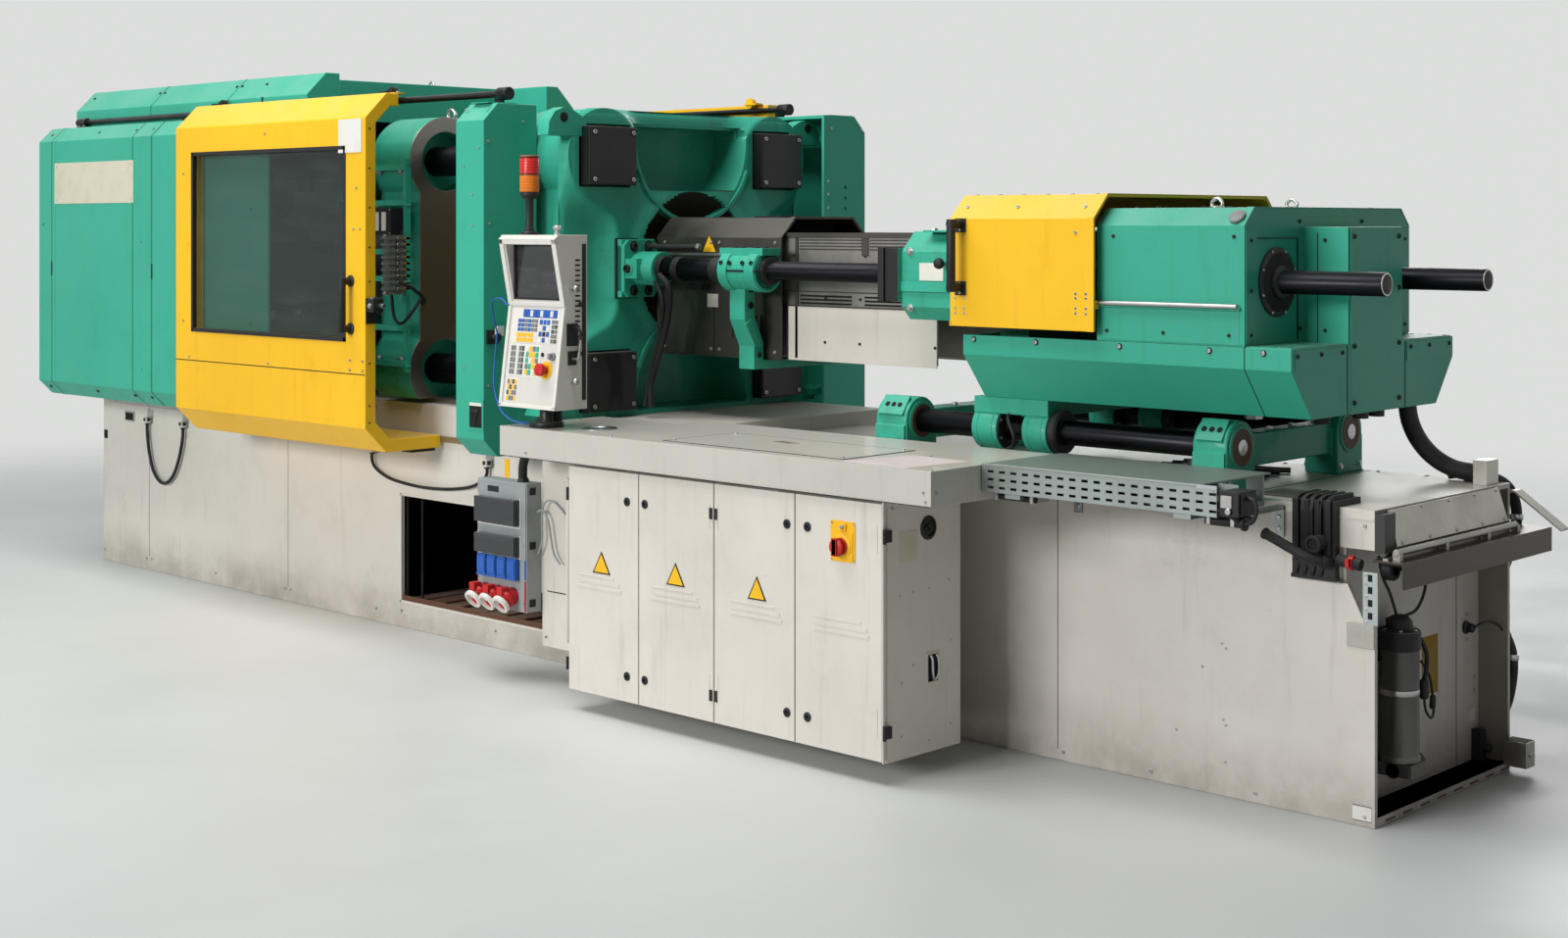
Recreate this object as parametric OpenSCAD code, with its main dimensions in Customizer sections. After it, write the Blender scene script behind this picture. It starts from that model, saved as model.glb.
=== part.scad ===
// Hydraulic tie-bar injection moulding machine, clamping unit at -X, injection unit at +X.
// X = 0 is the mould face of the fixed platen, Y = 0 the machine centre line, Z = 0 the floor.

/* [Bases] */
// Length of the clamping base left of the mould face
clamp_base_l = 2980; // [2900:10:3100]
// Length of the clamping base right of the mould face
clamp_base_r = 760; // [700:10:900]
// Half width of the clamping base
clamp_base_hw = 515; // [480:5:540]
// Height of the clamping base
clamp_base_h = 840; // [820:5:850]
// Right end of the injection base
inj_base_end = 3136; // [3100:2:3200]
// Half width of the injection base
inj_base_hw = 385; // [370:5:400]
// Height of the injection base
inj_base_h = 790; // [780:5:800]
// Wall thickness of both bases
base_wall = 14; // [8:1:20]

/* [Clamping unit] */
// Distance between tie bar centres across the machine
tie_span_y = 830; // [800:5:860]
// Distance between tie bar centres up the machine
tie_span_z = 770; // [740:5:800]
// Height of the clamping centre line above the clamping base
axis_h = 510; // [500:5:530]
// Diameter of the tie bars
tie_d = 110; // [90:2:130]
// Radius of the platen corner bosses
boss_r = 165; // [155:1:175]
// Thickness of the fixed platen
fixed_t = 240; // [220:5:280]
// Thickness of the moving platen
moving_t = 240; // [200:5:280]
// Gap between the platens as the machine stands
daylight = 600; // [560:5:640]
// Thickness of the end platen
end_t = 260; // [220:5:300]
// Outer diameter of the clamping cylinder
cyl_d = 440; // [380:5:480]
// Diameter of the clamping piston rod
piston_d = 220; // [180:5:240]
// Diameter of the locating bore for the mould ring
locating_d = 125; // [100:1:160]
// Pitch of the mould clamping threads
mould_pitch = 280; // [210:10:300]
// Diameter of the mould clamping holes
mould_hole_d = 20; // [16:1:24]

/* [Guards] */
// Distance of the side covers from the centre line
cover_y = 810; // [800:2:830]
// How far the side covers reach below the top of the clamping base
cover_drop = 80; // [60:2:100]
// Height of the side covers above the clamping centre line
cover_rise = 570; // [560:5:590]
// Sheet wall of the side covers
cover_t = 12; // [6:1:16]
// Chamfer of the side covers
cover_c = 60; // [50:1:66]
// Left end of the side covers
cover_x0 = -3000; // [-3060:5:-2990]
// Right end of the side covers
cover_x1 = -1180; // [-1240:5:-1120]
// Length of the sliding doors
door_l = 1280; // [1220:5:1340]
// Depth of the sliding door leaf
door_t = 46; // [36:1:50]
// Free space between a door and the covers behind it
door_gap = 4; // [3:1:8]
// Right end of the operator door as it stands
door_x1 = -480; // [-520:5:-440]
// Window width in the operator door
window_w = 1020; // [900:5:1060]
// Window height in the operator door
window_h = 675; // [600:5:700]
// Diameter of the door guide rods
door_rod_d = 24; // [16:1:30]
// Width of the operator side post
post_w = 151; // [130:1:170]
// Width of the far side post
far_post_w = 419; // [380:1:440]
// Height of the roof hood above the side covers
hood_h = 165; // [140:5:190]
// Half width of the roof hood
hood_hw = 666; // [650:2:676]

/* [Injection unit] */
// Distance of the traverse rods from the centre line
rod_y = 288; // [280:2:300]
// Diameter of the traverse rods
rod_d = 62; // [54:1:66]
// Diameter of the thicker front part of the traverse rods
rod_sleeve_d = 74; // [70:1:84]
// Right end of the traverse rods
rod_end = 3118; // [3080:2:3150]
// Distance of the carriage bars from the centre line
bar_y = 294; // [280:2:300]
// Height of the carriage bars above the injection base
bar_lift = 118; // [110:2:125]
// Diameter of the carriage bars
bar_d = 70; // [60:1:80]
// Outer diameter of the carriage collars
collar_d = 128; // [116:1:140]
// Half width of the sliding yellow hood
slide_hood_hw = 482; // [474:1:490]
// Half width of the green rear hood
rear_hood_hw = 447; // [440:1:452]
// Outer diameter of the barrel with its heater bands
barrel_d = 170; // [150:2:180]
// Diameter of the screw
screw_d = 70; // [60:1:80]

/* [Control and cabinet] */
// Left end of the table
table_x0 = 388; // [370:2:400]
// Right end of the table
table_x1 = 2176; // [2120:2:2180]
// Front edge of the table
table_y = 950; // [944:1:980]
// Height of the table top above the injection base
table_lift = 67; // [60:1:90]
// Thickness of the table rim
table_t = 95; // [80:1:100]
// Left side of the cabinet
cab_x0 = 714; // [700:2:730]
// Width of the cabinet
cab_w = 1286; // [1240:2:1300]
// Bottom edge of the cabinet
cab_z0 = 58; // [40:1:70]
// Front face of the cabinet doors
cab_y = 940; // [936:1:944]
// Depth of the cabinet
cab_d = 331; // [300:1:340]
// Width of the control panel
panel_w = 278; // [260:2:300]
// Height of the control panel
panel_h = 548; // [520:2:560]
// Depth of the control panel
panel_d = 130; // [120:2:140]
// Centre of the control panel along the machine
panel_x = 525; // [515:1:535]

/* [Hidden] */
$fn = 48;

teal = [0.20, 0.66, 0.55];
yellow = [0.98, 0.78, 0.15];
cream = [0.80, 0.79, 0.75];
black = [0.06, 0.06, 0.07];
steel = [0.72, 0.72, 0.72];

run_gap = 0.3;
eps = 1;

axis_z = clamp_base_h + axis_h;
cover_z0 = clamp_base_h - cover_drop;
cover_z1 = axis_z + cover_rise;
hood_z = cover_z1 + hood_h;
bar_z = inj_base_h + bar_lift;
table_z = inj_base_h + table_lift;

tie_hy = tie_span_y / 2;
tie_hz = tie_span_z / 2;
tie_bore_d = tie_d + 2 * run_gap;
moving_x1 = -daylight;
moving_x0 = moving_x1 - moving_t;
end_x0 = -2640;
end_x1 = end_x0 + end_t;
cyl_x1 = -1500;
rail_top = clamp_base_h + 20;
platen_z0 = rail_top + run_gap;
nut_d = 170;
nut_l = 50;

door_y = cover_y + door_gap + door_t;
door_z0 = cover_z0 - 70;
door_z1 = cover_z1 + door_gap + door_t;
door_c = cover_c + 30;
door_x0 = door_x1 - door_l;
rear_door_x1 = -30;
rear_door_x0 = rear_door_x1 - door_l;
rod_top_y = 690;
rod_top_z = cover_z1 + 13 + door_rod_d / 2;
rail_y0 = clamp_base_hw;
rail_y1 = clamp_base_hw + 15;
window_x0 = door_x0 + 130;
door_top_y = rod_top_y + 26;
window_z0 = door_z0 + 405;
post_x0 = -25;
post_x1 = post_x0 + post_w;
post_z1 = cover_z1 - 10;
far_post_x1 = post_x0 + far_post_w;

deck_z = inj_base_h;
inj_x0 = clamp_base_r;
unit_x0 = 1860;
unit_x1 = 2940;
hood_end = 2805;
hood_top = axis_z + 196;
slide_hood_top = axis_z + 235;
slide_hood_z0 = axis_z - 140;
slide_hood_x1 = 2360;
seam_z = axis_z - 165;
lower_z0 = bar_z + 92;
guard_x0 = 335;
guard_x1 = 930;
guard_hw = 210;
guard_c = 67;
guard_z0 = axis_z - 296;
guard_z1 = axis_z + 174;
head_x0 = 1567;

cab_x1 = cab_x0 + cab_w;
cab_z1 = table_z - table_t;
door_leaf = 20;
cab_front = cab_y - door_leaf;
cab_back = cab_y - cab_d;
cab_wall = 12;
door_pitch = cab_w / 4;
leaf_gap = 2;
leaf_z0 = cab_z0 + 6;
leaf_z1 = cab_z1 - 8;

panel_z0 = table_z + 63;
panel_z1 = panel_z0 + panel_h;
panel_y0 = table_y;
panel_y1 = panel_y0 - panel_d;
panel_fold_z = panel_z0 + 322;
panel_fold_y = panel_y0 - 42;
pivot_y = 870;
pivot_t = 16;
panel_foot_d = 110;
foot_sink = 4;

// Extrudes a Y-Z outline along X from x0 to x1
module along_x(x0, x1) {
  translate([x0, 0, 0]) rotate([90, 0, 90]) linear_extrude(x1 - x0) children();
}

// Extrudes an X-Z outline along Y from y0 to y1
module along_y(y0, y1) {
  translate([0, y1, 0]) rotate([90, 0, 0]) linear_extrude(y1 - y0) children();
}

// Box from one corner to the other
module block(a, b) {
  translate(a) cube([b[0] - a[0], b[1] - a[1], b[2] - a[2]]);
}

// Round bar along X
module bar_x(x0, x1, y, z, d) {
  translate([x0, y, z]) rotate([0, 90, 0]) cylinder(d = d, h = x1 - x0);
}

// Round bar along Y
module bar_y_axis(x, y0, y1, z, d) {
  translate([x, y0, z]) rotate([-90, 0, 0]) cylinder(d = d, h = y1 - y0);
}

module both_sides() {
  children();
  mirror([0, 1, 0]) children();
}

// Closed C-shaped sheet outline of a guard: y is the outer face, legs reach in to y_low and y_top
function guard_outline(y, z0, z1, c, y_low, y_top, t) =
  let (k = 2 - sqrt(2), ci = c - k * t)
  [[-y_low, z0], [-y + c, z0], [-y, z0 + c], [-y, z1 - c], [-y + c, z1], [-y_top, z1],
   [-y_top, z1 - t], [-y + t + ci, z1 - t], [-y + t, z1 - t - ci], [-y + t, z0 + t + ci],
   [-y + t + ci, z0 + t], [-y_low, z0 + t]];

// Filled outline of the same guard
function guard_face(y, z0, z1, c, y_in) =
  [[-y_in, z0], [-y + c, z0], [-y, z0 + c], [-y, z1 - c], [-y + c, z1], [-y_in, z1]];

// Outline across the machine, chamfered at the two top edges
function roof_outline(hw, z0, z1, c) =
  [[-hw, z0], [-hw, z1 - c], [-hw + c, z1], [hw - c, z1], [hw, z1 - c], [hw, z0]];

// Tube swept along a route with a round section of the given number of sides,
// with its two ends cut square to the given directions
module swept_tube(route, d, sides, first_dir, last_dir) {
  n = len(route);
  dirs = concat([first_dir], [for (i = [1:n - 2]) unit(route[i + 1] - route[i - 1])], [last_dir]);
  pts = [for (i = [0:n - 1]) for (k = [0:sides - 1])
    let (u = unit(cross(dirs[i], across(dirs[i]))), v = cross(dirs[i], u), a = 360 * k / sides)
    route[i] + d / 2 * (cos(a) * u + sin(a) * v)];
  walls = [for (i = [0:n - 2]) for (k = [0:sides - 1])
    [i * sides + k, i * sides + (k + 1) % sides, (i + 1) * sides + (k + 1) % sides, (i + 1) * sides + k]];
  first = [for (k = [sides - 1:-1:0]) k];
  last = [for (k = [0:sides - 1]) (n - 1) * sides + k];
  polyhedron(points = pts, faces = concat([first], walls, [last]), convexity = 6);
}

function unit(v) = v / norm(v);
function across(v) = abs(v[0]) < 0.9 ? [1, 0, 0] : [0, 1, 0];

// Smooth points through a hand-set route, steps on each stretch
function spline_at(a, b, c, d, t) =
  0.5 * (2 * b + (c - a) * t + (2 * a - 5 * b + 4 * c - d) * t * t + (3 * b - 3 * c + d - a) * t * t * t);
function smooth(p, steps) = let (n = len(p)) [for (i = [0:n - 2]) for (s = [0:steps - (i == n - 2 ? 0 : 1)])
  spline_at(p[max(i - 1, 0)], p[i], p[i + 1], p[min(i + 2, n - 1)], s / steps)];

hatch_x0 = -740;
hatch_x1 = 380;
hatch_z0 = 100;
hatch_z1 = 490;
level_x0 = -2800;
level_x1 = 600;
level_y = 430;
level_d = 26;
gland_z = 640;
sag_x0 = -906;
sag_x1 = -211;
loop_x0 = -2570;
loop_x1 = -2276;
gland_d = 26;
gland_y1 = clamp_base_hw + 16;

// Gland block on the side of the clamping base, its mouth pointing down
module gland(x, z) {
  block([x - gland_d / 2, -gland_y1 - gland_d / 2, z], [x + gland_d / 2, -clamp_base_hw, z + gland_d]);
}

module clamp_base() color(cream) difference() {
  union() {
    block([-clamp_base_l, -clamp_base_hw, 0], [clamp_base_r, clamp_base_hw, clamp_base_h]);
    gland(loop_x0, gland_z);
    gland(loop_x1, gland_z);
    gland(sag_x0, gland_z);
    gland(sag_x1, gland_z);
  }
  block([-clamp_base_l + base_wall, -clamp_base_hw + base_wall, base_wall],
    [clamp_base_r - base_wall, clamp_base_hw - base_wall, clamp_base_h - 40]);
  block([hatch_x0, -clamp_base_hw - eps, hatch_z0], [hatch_x1, -clamp_base_hw + base_wall + eps, hatch_z1]);
  for (x = [level_x0, level_x1], s = [-1, 1])
    translate([x, s * level_y, -eps]) cylinder(d = level_d, h = base_wall + 2 * eps);
}

skin_x0 = inj_base_end - 86;
recess_z0 = base_wall + 10;
notch_x0 = inj_base_end - 96;
notch_x1 = inj_base_end - 74;
notch_x2 = inj_base_end - 26;
notch_z0 = inj_base_h - 285;
notch_z1 = inj_base_h - 190;
notch_z2 = inj_base_h - 100;

module injection_base() color(cream) difference() {
  block([inj_x0, -inj_base_hw, 0], [inj_base_end, inj_base_hw, inj_base_h]);
  block([inj_x0 + base_wall, -inj_base_hw + base_wall, base_wall],
    [skin_x0 - base_wall, inj_base_hw - base_wall, inj_base_h - base_wall]);
  block([skin_x0, -inj_base_hw + base_wall, recess_z0],
    [inj_base_end + eps, inj_base_hw - base_wall, inj_base_h - base_wall]);
  along_y(-inj_base_hw - eps, -inj_base_hw + base_wall + eps)
    polygon([[notch_x0, notch_z2], [inj_base_end + eps, notch_z2], [inj_base_end + eps, notch_z0],
      [notch_x2, notch_z0], [notch_x1, notch_z1], [notch_x0, notch_z1]]);
}

table_sheet = 20;
rim_t = 8;

// Folded pan with ribs that stand on the cabinet and reach the injection base
module table_top() color(cream) {
  difference() {
    block([table_x0, -table_y, table_z - table_t], [table_x1, -inj_base_hw, table_z]);
    block([table_x0 + rim_t, -table_y + rim_t, table_z - table_t - eps],
      [table_x1 - rim_t, -inj_base_hw + eps, table_z - table_sheet]);
    block([table_x0 - eps, -clamp_base_hw, table_z - table_t - eps],
      [inj_x0, -inj_base_hw + eps, table_z + eps]);
    translate([panel_x, -pivot_y, table_z - foot_sink])
      cylinder(d = panel_foot_d + 2 * run_gap, h = foot_sink + eps);
  }
  for (x = [cab_x0 + 50, cab_x0 + cab_w / 2, cab_x1 - 50])
    block([x, -table_y + rim_t, table_z - table_t], [x + rim_t, -inj_base_hw, table_z - table_sheet]);
}

sheet_x0 = 360;
sheet_z0 = 120;
plate_y = 750;
plate_t = 8;
bow_x = 664;
bow_y = 898;
bow_z0 = 200;
bow_z1 = cab_z1 - 62;
bow_d = 14;
grommet_d = 60;
inset = 60;
gear_h = 100;
gear_pitch = 180;
gear_z0 = cab_z0 + 110;
gear_d = 86;
mount_t = 24;
grommet_y = cab_back + 140;
grommet_z = cab_z1 - 90;

// Cabinet shell in two bays with mounting plates and rows of gear, side sheet and bow pipe
module cabinet_body() color(cream) {
  difference() {
    block([cab_x0, -cab_front, cab_z0], [cab_x1, -cab_back, cab_z1]);
    for (k = [0, 1])
      block([cab_x0 + cab_wall + k * 2 * door_pitch, -cab_front - eps, cab_z0 + cab_wall],
        [cab_x0 + (k + 1) * 2 * door_pitch - cab_wall, -cab_back - cab_wall, cab_z1 - cab_wall]);
    bar_x(cab_x1 - cab_wall - eps, cab_x1 + eps, -grommet_y, grommet_z, grommet_d);
  }
  for (k = [0, 1]) {
    block([cab_x0 + inset + k * 2 * door_pitch, -cab_back - cab_wall - mount_t, cab_z0 + inset],
      [cab_x0 + (k + 1) * 2 * door_pitch - inset, -cab_back - cab_wall, cab_z1 - inset]);
    for (r = [0, 1, 2])
      block([cab_x0 + inset + 40 + k * 2 * door_pitch, -cab_back - cab_wall - mount_t - gear_d,
        gear_z0 + r * gear_pitch],
        [cab_x0 + (k + 1) * 2 * door_pitch - inset - 40, -cab_back - cab_wall - mount_t,
          gear_z0 + gear_h + r * gear_pitch]);
  }
  block([sheet_x0, -plate_y, sheet_z0], [cab_x0, -plate_y + plate_t, cab_z1]);
  block([box_x0 + 50, -plate_y, box_z0 + 60], [sheet_x0 + eps, -plate_y + plate_t, box_z1 - 60]);
  for (z = [bow_z0, bow_z1]) bar_y_axis(bow_x, -bow_y, -plate_y, z, bow_d);
  translate([bow_x, -bow_y, bow_z0 - bow_d / 2]) cylinder(d = bow_d, h = bow_z1 - bow_z0 + bow_d);
}

module cabinet_door(k) color(cream) {
  block([cab_x0 + k * door_pitch + leaf_gap, -cab_y, leaf_z0],
    [cab_x0 + (k + 1) * door_pitch - leaf_gap, -cab_front - run_gap, leaf_z1]);
}

module cabinet_door_1() cabinet_door(0);
module cabinet_door_2() cabinet_door(1);
module cabinet_door_3() cabinet_door(2);
switch_x = cab_x1 - 142;
switch_z = leaf_z1 - 126;
module cabinet_door_4() cabinet_door(3);
module main_switch() color("firebrick") {
  bar_y_axis(switch_x, -cab_y - 18, -cab_y - run_gap, switch_z, 48);
  block([switch_x - 9, -cab_y - 38, switch_z - 24], [switch_x + 9, -cab_y - 18, switch_z + 24]);
}

box_x0 = 97;
box_x1 = 355;
box_y0 = 812;
box_z0 = 232;
box_h = 422;
box_z1 = box_z0 + box_h;
flap_x0 = box_x0 + 12;
flap_x1 = box_x1 - 36;
flap_d = 26;
flap_rows = [[box_z1 - 140, box_z1 - 56], [box_z1 - 241, box_z1 - 178]];
lid_z0 = box_z0 + 108;
lid_h = 62;
lid_w = 44;
lid_pitch = 52;
lid_out = 20;
outlet_d = 56;
outlet_z = box_z0 + 50;
outlet_pitch = 72;

module socket_box() color([0.55, 0.56, 0.55]) {
  block([box_x0, -box_y0, box_z0], [box_x1, -plate_y, box_z1]);
  for (k = [0:3])
    block([box_x0 + 22 + k * lid_pitch, -box_y0 - lid_out, lid_z0],
      [box_x0 + 22 + lid_w + k * lid_pitch, -box_y0, lid_z0 + lid_h]);
  for (k = [0:2])
    translate([box_x0 + 45 + k * outlet_pitch, -box_y0, outlet_z]) rotate([110, 0, 0])
      translate([0, 0, -6]) cylinder(d = outlet_d, h = 56);
}

module socket_flap(row) color([0.12, 0.12, 0.13]) {
  block([flap_x0, -box_y0 - flap_d, row[0]], [flap_x1, -box_y0 - run_gap, row[1]]);
}

module socket_flap_upper() socket_flap(flap_rows[0]);
module socket_flap_lower() socket_flap(flap_rows[1]);

cover_top_y = 560;

// Side cover: C-shaped sheet with a half wall across the left end
module side_cover() {
  along_x(cover_x0, cover_x1)
    polygon(guard_outline(cover_y, cover_z0, cover_z1, cover_c, clamp_base_hw, cover_top_y, cover_t));
  along_x(cover_x0, cover_x0 + cover_t) polygon(guard_face(cover_y, cover_z0, cover_z1, cover_c, 0));
}

module cover_operator_side() color(teal) side_cover();
module cover_far_side() color(teal) mirror([0, 1, 0]) side_cover();

hood_x0 = cover_x0 + 60;
hood_x1 = cover_x1 + 40;
hood_mid_x1 = hood_x1 - 300;
hood_wing = 150;
hood_c = 87;
hood_t = 10;

// Solid of the roof hood, drawn t inside its outer faces; the middle ends before the two wings
module hood_form(t, cut) difference() {
  along_x(hood_x0 + t, hood_x1 - t)
    polygon(roof_outline(hood_hw - t, cover_z1 - cut, hood_z - t, hood_c - (2 - sqrt(2)) * t));
  block([hood_mid_x1 - t, -hood_hw + hood_wing - t, cover_z1 - 2 * eps],
    [hood_x1 + eps, hood_hw - hood_wing + t, hood_z + eps]);
}

module top_hood() color(teal) difference() {
  hood_form(0, 0);
  hood_form(hood_t, eps);
}

post_y_in = tie_hy + boss_r + run_gap;
post_z0 = cover_z0 - 40;
post_foot = 60;

// Channel beside the fixed platen, open towards it, with a foot on the base
module post(x0, x1) {
  difference() {
    along_x(x0, x1) polygon(guard_face(cover_y, post_z0, post_z1, cover_c, post_y_in));
    along_x(x0 + cover_t, x1 - cover_t)
      polygon(guard_face(cover_y - cover_t, post_z0 + cover_t, post_z1 - cover_t,
        cover_c - (2 - sqrt(2)) * cover_t, post_y_in - eps));
  }
  block([x0, -post_y_in, post_z0], [x0 + post_foot, -clamp_base_hw, post_z0 + 40]);
}

vent_x = far_post_x1 - cover_t - eps;
vent_d = 14;
vent_z = axis_z + 210;
vent_y = 700;
vent_pitch = 40;

module post_operator_side() color(teal) post(post_x0, post_x1);
module post_far_side() color(teal) mirror([0, 1, 0]) difference() {
  post(post_x0, far_post_x1);
  for (k = [0:2]) bar_x(vent_x, vent_x + cover_t + 2 * eps, -vent_y, vent_z + k * vent_pitch, vent_d);
}

rod_top_x1 = post_x1 - 16;
foot_l = 40;
foot_t = 12;
rod_cap_l = 55;
rod_cap_d = door_rod_d + 20;
low_rail_x0 = cover_x0 + 100;
low_rail_z0 = door_z0 + 20;
low_rail_h = 20;

// Foot of a guide rod, standing at height z
module rod_foot(x, z) {
  block([x, -rod_top_y - foot_t / 2, z], [x + foot_l, -rod_top_y + foot_t / 2, rod_top_z - door_rod_d / 2 + 3]);
}

// Guide rods above the covers with their feet and end caps, and bottom rails along the base
module door_rails() color(black) both_sides() {
  bar_x(hood_x0 + 90, rod_top_x1, -rod_top_y, rod_top_z, door_rod_d);
  for (x = [hood_x0 + 100, -2000, cover_x1 - 60]) rod_foot(x, cover_z1);
  rod_foot(post_x0 + 65, post_z1);
  bar_x(rod_top_x1 - 50, rod_top_x1 - 50 + rod_cap_l, -rod_top_y, rod_top_z, rod_cap_d);
  block([low_rail_x0, -rail_y1, low_rail_z0], [post_x0 - 5, -rail_y0, low_rail_z0 + low_rail_h]);
}

platen_hw = tie_hy + boss_r + eps;

// Outline across a platen: rounded corners round the tie bars, cut off flat above the rails
module platen_outline(z0) {
  intersection() {
    union() {
      for (s = [-1, 1], q = [-1, 1])
        translate([s * tie_hy, axis_z + q * tie_hz]) circle(r = boss_r, $fn = 64);
      translate([-tie_hy, axis_z - tie_hz - boss_r + 25]) square([tie_span_y, tie_span_z + 2 * boss_r - 50]);
      translate([-tie_hy - boss_r + 45, axis_z - tie_hz]) square([tie_span_y + 2 * boss_r - 90, tie_span_z]);
    }
    translate([-platen_hw, z0]) square([2 * platen_hw, axis_z + tie_hz + boss_r + eps - z0]);
  }
}

module tie_bores(x0, x1, d) {
  for (s = [-1, 1], q = [-1, 1]) bar_x(x0, x1, s * tie_hy, axis_z + q * tie_hz, d);
}

module mould_holes(x) {
  for (s = [-1, 1], q = [-1, 1])
    bar_x(x - 45, x + 45, s * mould_pitch / 2, axis_z + q * mould_pitch / 2, mould_hole_d);
}

rib_x1 = fixed_t + 50;
pocket_w = 270;
foot_out = 60;
foot_x = 40;
foot_h = 22;
hub_r = 345;
web_w = 230;
nut_space = 250;
recess_x0 = 110;
recess_r0 = 120;
recess_r1 = 270;

// Raised part of the fixed platen: a hub round the nozzle recess, webs to the corners,
// and edge bars at the sides
module platen_webs() {
  translate([0, axis_z]) circle(r = hub_r, $fn = 64);
  for (s = [-1, 1]) translate([0, axis_z]) rotate(s * atan(tie_hz / tie_hy))
    square([2 * norm([tie_hy, tie_hz]) + 2 * boss_r, web_w], center = true);
  for (s = [-1, 1], q = [-1, 1])
    translate([s * tie_hy, axis_z + q * tie_hz]) circle(r = boss_r, $fn = 64);
  for (s = [-1, 1])
    translate([s * rod_y, axis_z]) square([2 * bracket_hw, 2 * bracket_hh], center = true);
}

module fixed_platen() color(teal) difference() {
  union() {
    along_x(0, fixed_t) platen_outline(clamp_base_h);
    along_x(fixed_t - eps, rib_x1) difference() {
      intersection() {
        platen_outline(clamp_base_h);
        platen_webs();
      }
      for (s = [-1, 1], q = [-1, 1])
        translate([s * tie_hy, axis_z + q * tie_hz]) square([nut_space, nut_space], center = true);
    }
    block([rib_x1 - foot_x, -platen_hw - foot_out + eps, clamp_base_h],
      [rib_x1, platen_hw + foot_out - eps, clamp_base_h + foot_h]);
    block([fixed_t - eps, -platen_hw - foot_out + eps, clamp_base_h],
      [rib_x1, platen_hw + foot_out - eps, clamp_base_h + foot_h]);
  }
  tie_bores(-eps, rib_x1 + eps, tie_bore_d);
  bar_x(-eps, rib_x1 + eps, 0, axis_z, locating_d);
  translate([recess_x0, 0, axis_z]) rotate([0, 90, 0])
    cylinder(r1 = recess_r0, r2 = recess_r1, h = rib_x1 - recess_x0 + eps);
  for (q = [0, 1]) translate([0, 0, q * axis_z * 2]) mirror([0, 0, q])
    intersection() {
      block([120, -pocket_w, axis_z + 270], [rib_x1 + eps, pocket_w, axis_z + tie_hz + 110]);
      bar_x(100, rib_x1 + 2, 0, axis_z + tie_hz + 60, 2 * pocket_w);
    }
  mould_holes(0);
}

cover_w = 214;
cover_h = 200;
cover_depth = 94;
cup_t = 5;

// Square cups over the tie bar nuts
module nut_covers() color(black) for (s = [-1, 1], q = [-1, 1])
  translate([fixed_t, s * tie_hy, axis_z + q * tie_hz]) difference() {
    translate([0, -cover_w / 2, -cover_h / 2]) cube([cover_depth, cover_w, cover_h]);
    translate([-eps, -cover_w / 2 + cup_t, -cover_h / 2 + cup_t])
      cube([cover_depth - cup_t, cover_w - 2 * cup_t, cover_h - 2 * cup_t]);
  }

tie_x0 = end_x0 - nut_l - 10;
tie_x1 = fixed_t + nut_l + 30;

module tie_bars() color(steel) for (s = [-1, 1], q = [-1, 1]) {
  bar_x(tie_x0, tie_x1, s * tie_hy, axis_z + q * tie_hz, tie_d);
  for (x = [fixed_t, end_x0 - nut_l]) difference() {
    bar_x(x, x + nut_l, s * tie_hy, axis_z + q * tie_hz, nut_d);
    bar_x(x - eps, x + nut_l + eps, s * tie_hy, axis_z + q * tie_hz, tie_bore_d);
  }
}

module end_platen() color(teal) difference() {
  along_x(end_x0, end_x1) platen_outline(clamp_base_h);
  tie_bores(end_x0 - eps, end_x1 + eps, tie_bore_d);
}

cyl_flange_t = 50;

module clamp_cylinder() color(teal) difference() {
  union() {
    bar_x(end_x1, cyl_x1, 0, axis_z, cyl_d);
    bar_x(end_x1, end_x1 + cyl_flange_t, 0, axis_z, cyl_d + 120);
    bar_x(cyl_x1 - cyl_flange_t, cyl_x1, 0, axis_z, cyl_d + 40);
  }
  bar_x(end_x1 + cyl_flange_t + 10, cyl_x1 + eps, 0, axis_z, piston_d + 2 * run_gap);
}

slide_y0 = 330;
slide_y1 = 470;
slide_x1 = -30;

module platen_rails() color(steel) both_sides()
  block([cyl_x1, -slide_y1, clamp_base_h], [slide_x1, -slide_y0, rail_top]);

module moving_platen() color(teal) difference() {
  along_x(moving_x0, moving_x1) platen_outline(platen_z0);
  tie_bores(moving_x0 - eps, moving_x1 + eps, tie_bore_d);
  tie_bores(moving_x1 - 60, moving_x1 + eps, 2 * tie_d);
  bar_x(moving_x0 - eps, moving_x1 + eps, 0, axis_z, locating_d);
  for (s = [-1, 1]) bar_x(moving_x0 - eps, moving_x1 + eps, s * eject_y, axis_z, eject_d + 2 * run_gap);
  mould_holes(moving_x1);
}

piston_l = 1040;

module clamp_piston() color(steel) difference() {
  bar_x(moving_x0 - piston_l, moving_x0, 0, axis_z, piston_d);
  bar_x(moving_x0 - 30, moving_x0 + eps, 0, axis_z, locating_d);
}

eject_y = 170;
eject_d = 30;
eject_x = moving_x0 - 180;

// Ring yoke behind the moving platen with two ejector rods
module ejector() color(steel) {
  difference() {
    bar_x(eject_x, eject_x + 30, 0, axis_z, 2 * eject_y + 80);
    bar_x(eject_x - eps, eject_x + 31, 0, axis_z, piston_d + 30);
  }
  for (s = [-1, 1]) bar_x(eject_x + 30 - eps, moving_x1 - 20, s * eject_y, axis_z, eject_d);
}

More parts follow.
